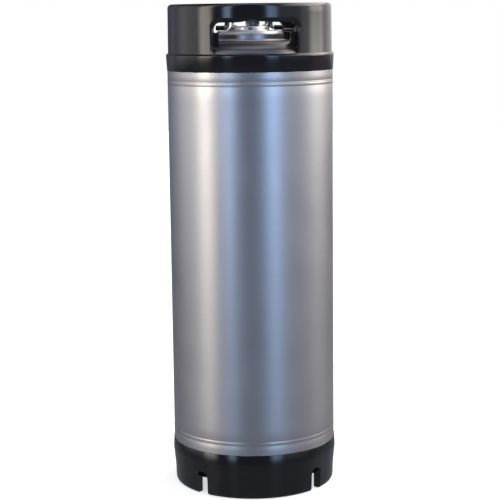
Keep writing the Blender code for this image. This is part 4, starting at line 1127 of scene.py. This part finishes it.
def dip_tubes():
    tree = tube_tree()
    bottom = DOME_LOW
    bend_z = DOME_TOP + BEND_START
    for word, side in (("gas", -1), ("liquid", 1)):
        x = side * POST_X
        low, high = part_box(f"{word}_dip_tube")
        flange = lathe("tube_flange", rounded([
            (0.0034, high.z - 0.0010), (TUBE_FLANGE, high.z - 0.0010, 0.0002),
            (TUBE_FLANGE, high.z, 0.0002), (0.0034, high.z, 0.0003)]), MEDIUM, (x, 0))
        path = [Vector((x, 0, high.z - 0.0003)), Vector((x, 0, (high.z + low.z) / 2))]
        if word == "gas":
            path.append(Vector((x, 0, low.z)))
        else:
            path += smooth_path([
                (x, 0, bend_z + 0.0100), (x, 0, bend_z - 0.0050),
                *((x * share, 0, bottom + rise) for share, rise in BEND_GUIDES),
                (TUBE_END[0], 0, bottom + TUBE_END[1])], 8)
        mesh = bpy.data.meshes.new("tube_line")
        mesh.from_pydata(path, [(k, k + 1) for k in range(len(path) - 1)], [])
        line = bpy.data.objects.new("tube_line", mesh)
        bpy.context.scene.collection.objects.link(line)
        tube = grow(f"drawn_{word}_dip_tube", tree, {
            "Radius": TUBE_RADIUS, "Wall": TUBE_WALL, "Line": line, "Material": LID_STEEL})
        bpy.data.objects.remove(line)
        bm = bmesh.new()
        bm.from_mesh(tube.data)
        bmesh.ops.recalc_face_normals(bm, faces=bm.faces[:])
        bm.to_mesh(tube.data)
        bm.free()
        combine(tube, flange, "UNION")
        dress(tube, f"{word}_dip_tube", LID_STEEL)


# Studio

CAMERA_TURN = -4.5              # degrees from the front, towards the gas post
CAMERA_DISTANCE = 1.9263
CAMERA_HEIGHT = 0.6218
CAMERA_SIDE = -0.0028
CAMERA_PITCH = 9.17
CAMERA_ROLL = -0.68


def camera():
    data = bpy.data.cameras.new("camera")
    data.lens = 105.3
    data.sensor_width = 36.0
    made = bpy.data.objects.new("camera", data)
    bpy.context.scene.collection.objects.link(made)
    around = Matrix.Rotation(math.radians(CAMERA_TURN), 4, "Z")
    place = Matrix.Translation((CAMERA_SIDE, -CAMERA_DISTANCE, CAMERA_HEIGHT))
    aim = Matrix.Rotation(math.radians(90 - CAMERA_PITCH), 4, "X")
    roll = Matrix.Rotation(math.radians(CAMERA_ROLL), 4, "Z")
    made.matrix_world = around @ place @ aim @ roll
    bpy.context.scene.camera = made


# Soft boxes: direction from the camera's side of the keg in degrees, half width, soft edge,
# colour, brightness and how high their lower edge is
SOFT_BOXES = (
    (-64, 5, 9, (1.0, 0.90, 0.79), 3.9, -0.05),
    (-90, 8, 30, (1.0, 0.97, 0.95), 0.80, -0.06),
    (-122, 10, 22, (0.92, 0.92, 1.0), 0.22, -0.06),
    (-31, 1.5, 7, (0.50, 0.68, 1.0), 4.2, -0.04),
    (27, 1, 5, (0.42, 0.63, 1.0), 3.4, -0.06),
    (34, 1.5, 6, (0.42, 0.63, 1.0), 3.0, -0.06),
    (60, 16, 14, (0.90, 0.92, 1.0), 0.36, -0.06),
    (92, 6, 16, (1.0, 1.0, 1.0), 0.75, 0.03),
    (108, 9, 12, (1.0, 0.92, 0.85), 3.1, 0.06),
    (146, 14, 22, (1.0, 0.95, 0.88), 0.85, 0.03),
)
ROOM = (0.100, 0.112, 0.155)
UNDER = (0.150, 0.155, 0.172)
FLOOR_LEVEL = -0.0002
FLOOR_GLOW = 0.62


def studio_light():
    """Soft boxes round the keg and a broad overhead light; the backdrop itself is white."""
    world = bpy.data.worlds.new("studio")
    bpy.context.scene.world = world
    world.use_nodes = True
    tree = world.node_tree
    tree.nodes.clear()
    place = node(tree, "ShaderNodeTexCoord")
    parts = node(tree, "ShaderNodeSeparateXYZ", {0: place.outputs["Generated"]})
    back = node(tree, "ShaderNodeMath", {0: parts.outputs["Y"], 1: -1.0}, operation="MULTIPLY")
    turn = node(tree, "ShaderNodeMath", {0: parts.outputs["X"], 1: back.outputs[0]},
                operation="ARCTAN2")
    degrees = node(tree, "ShaderNodeMath", {0: turn.outputs[0]}, operation="DEGREES")
    height = parts.outputs["Z"]

    def layer(low, high, at_low, at_high):
        return node(tree, "ShaderNodeMapRange", {
            "Value": height, "From Min": low, "From Max": high, "To Min": at_low,
            "To Max": at_high}, interpolation_type="SMOOTHSTEP").outputs[0]

    def scaled(colour, share):
        made = node(tree, "ShaderNodeVectorMath", {0: colour}, operation="SCALE")
        tree.links.new(share, made.inputs["Scale"])
        return made.outputs[0]

    light = scaled(ROOM, layer(-0.30, -0.05, 0.3, 1.0))
    for heading, half, edge, colour, power, foot in SOFT_BOXES:
        off = node(tree, "ShaderNodeMath", {0: degrees.outputs[0], 1: heading + CAMERA_TURN},
                   operation="SUBTRACT")
        wrapped = node(tree, "ShaderNodeMath", {0: off.outputs[0], 1: 180.0, 2: -180.0},
                       operation="WRAP")
        away = node(tree, "ShaderNodeMath", {0: wrapped.outputs[0]}, operation="ABSOLUTE")
        share = node(tree, "ShaderNodeMapRange", {
            "Value": away.outputs[0], "From Min": half, "From Max": half + edge,
            "To Min": power, "To Max": 0.0}, interpolation_type="SMOOTHSTEP")
        glow = scaled(scaled(colour, share.outputs[0]), layer(foot - 0.13, foot, 0.03, 1.0))
        light = node(tree, "ShaderNodeVectorMath", {0: light, 1: glow}).outputs[0]
    light = scaled(light, layer(0.35, 0.75, 1.0, 0.35))
    beside = node(tree, "ShaderNodeVectorMath", {0: (0.93, 0.28, 0.0)}, operation="DOT_PRODUCT")
    tree.links.new(place.outputs["Generated"], beside.inputs[1])
    high_side = node(tree, "ShaderNodeMapRange", {
        "Value": beside.outputs["Value"], "From Min": 0.30, "From Max": 0.62, "To Min": 0.0,
        "To Max": 1.0}, interpolation_type="SMOOTHSTEP").outputs[0]
    warm_lamp = scaled(scaled((2.2, 2.0, 1.8), high_side), layer(0.30, 0.48, 0.0, 1.0))
    for extra in (scaled(UNDER, layer(-0.30, -0.12, 1.0, 0.0)), warm_lamp,
                  scaled((1.0, 1.0, 1.03), layer(0.92, 0.985, 0.0, 1.0))):
        light = node(tree, "ShaderNodeVectorMath", {0: light, 1: extra}).outputs[0]
    seen = node(tree, "ShaderNodeLightPath")
    shown = node(tree, "ShaderNodeMix", data_type="RGBA")
    tree.links.new(seen.outputs["Is Camera Ray"], shown.inputs[0])
    tree.links.new(light, shown.inputs[6])
    shown.inputs[7].default_value = (1, 1, 1, 1)
    background = node(tree, "ShaderNodeBackground", {"Color": shown.outputs[2], "Strength": 1.0})
    out = tree.nodes.new("ShaderNodeOutputWorld")
    tree.links.new(background.outputs[0], out.inputs[0])


def floor():
    bm = bmesh.new()
    bmesh.ops.create_circle(bm, cap_ends=True, segments=96, radius=6.0,
                            matrix=Matrix.Translation((0, 0, FLOOR_LEVEL)))
    made = piece("studio_floor", bm)
    pale, _, shader = material("pale_floor", (0.90, 0.90, 0.90), 0.0, 0.9,
                                  Specular_IOR_Level=0.0)
    shader.inputs["Emission Color"].default_value = (1, 1, 1, 1)
    shader.inputs["Emission Strength"].default_value = FLOOR_GLOW
    made.data.materials.append(pale)
    made.visible_glossy = False


bpy.context.scene.view_settings.view_transform = "Standard"
camera()
studio_light()
floor()
tank_shell()
top_head()
bottom_head()
hatch_ring()
welds()
top_rubber()
bottom_rubber()
lid()
lid_seal()
bail_lugs()
bail()
bail_feet()
relief_valve()
springs_and_split_ring(relief_insides())
posts()
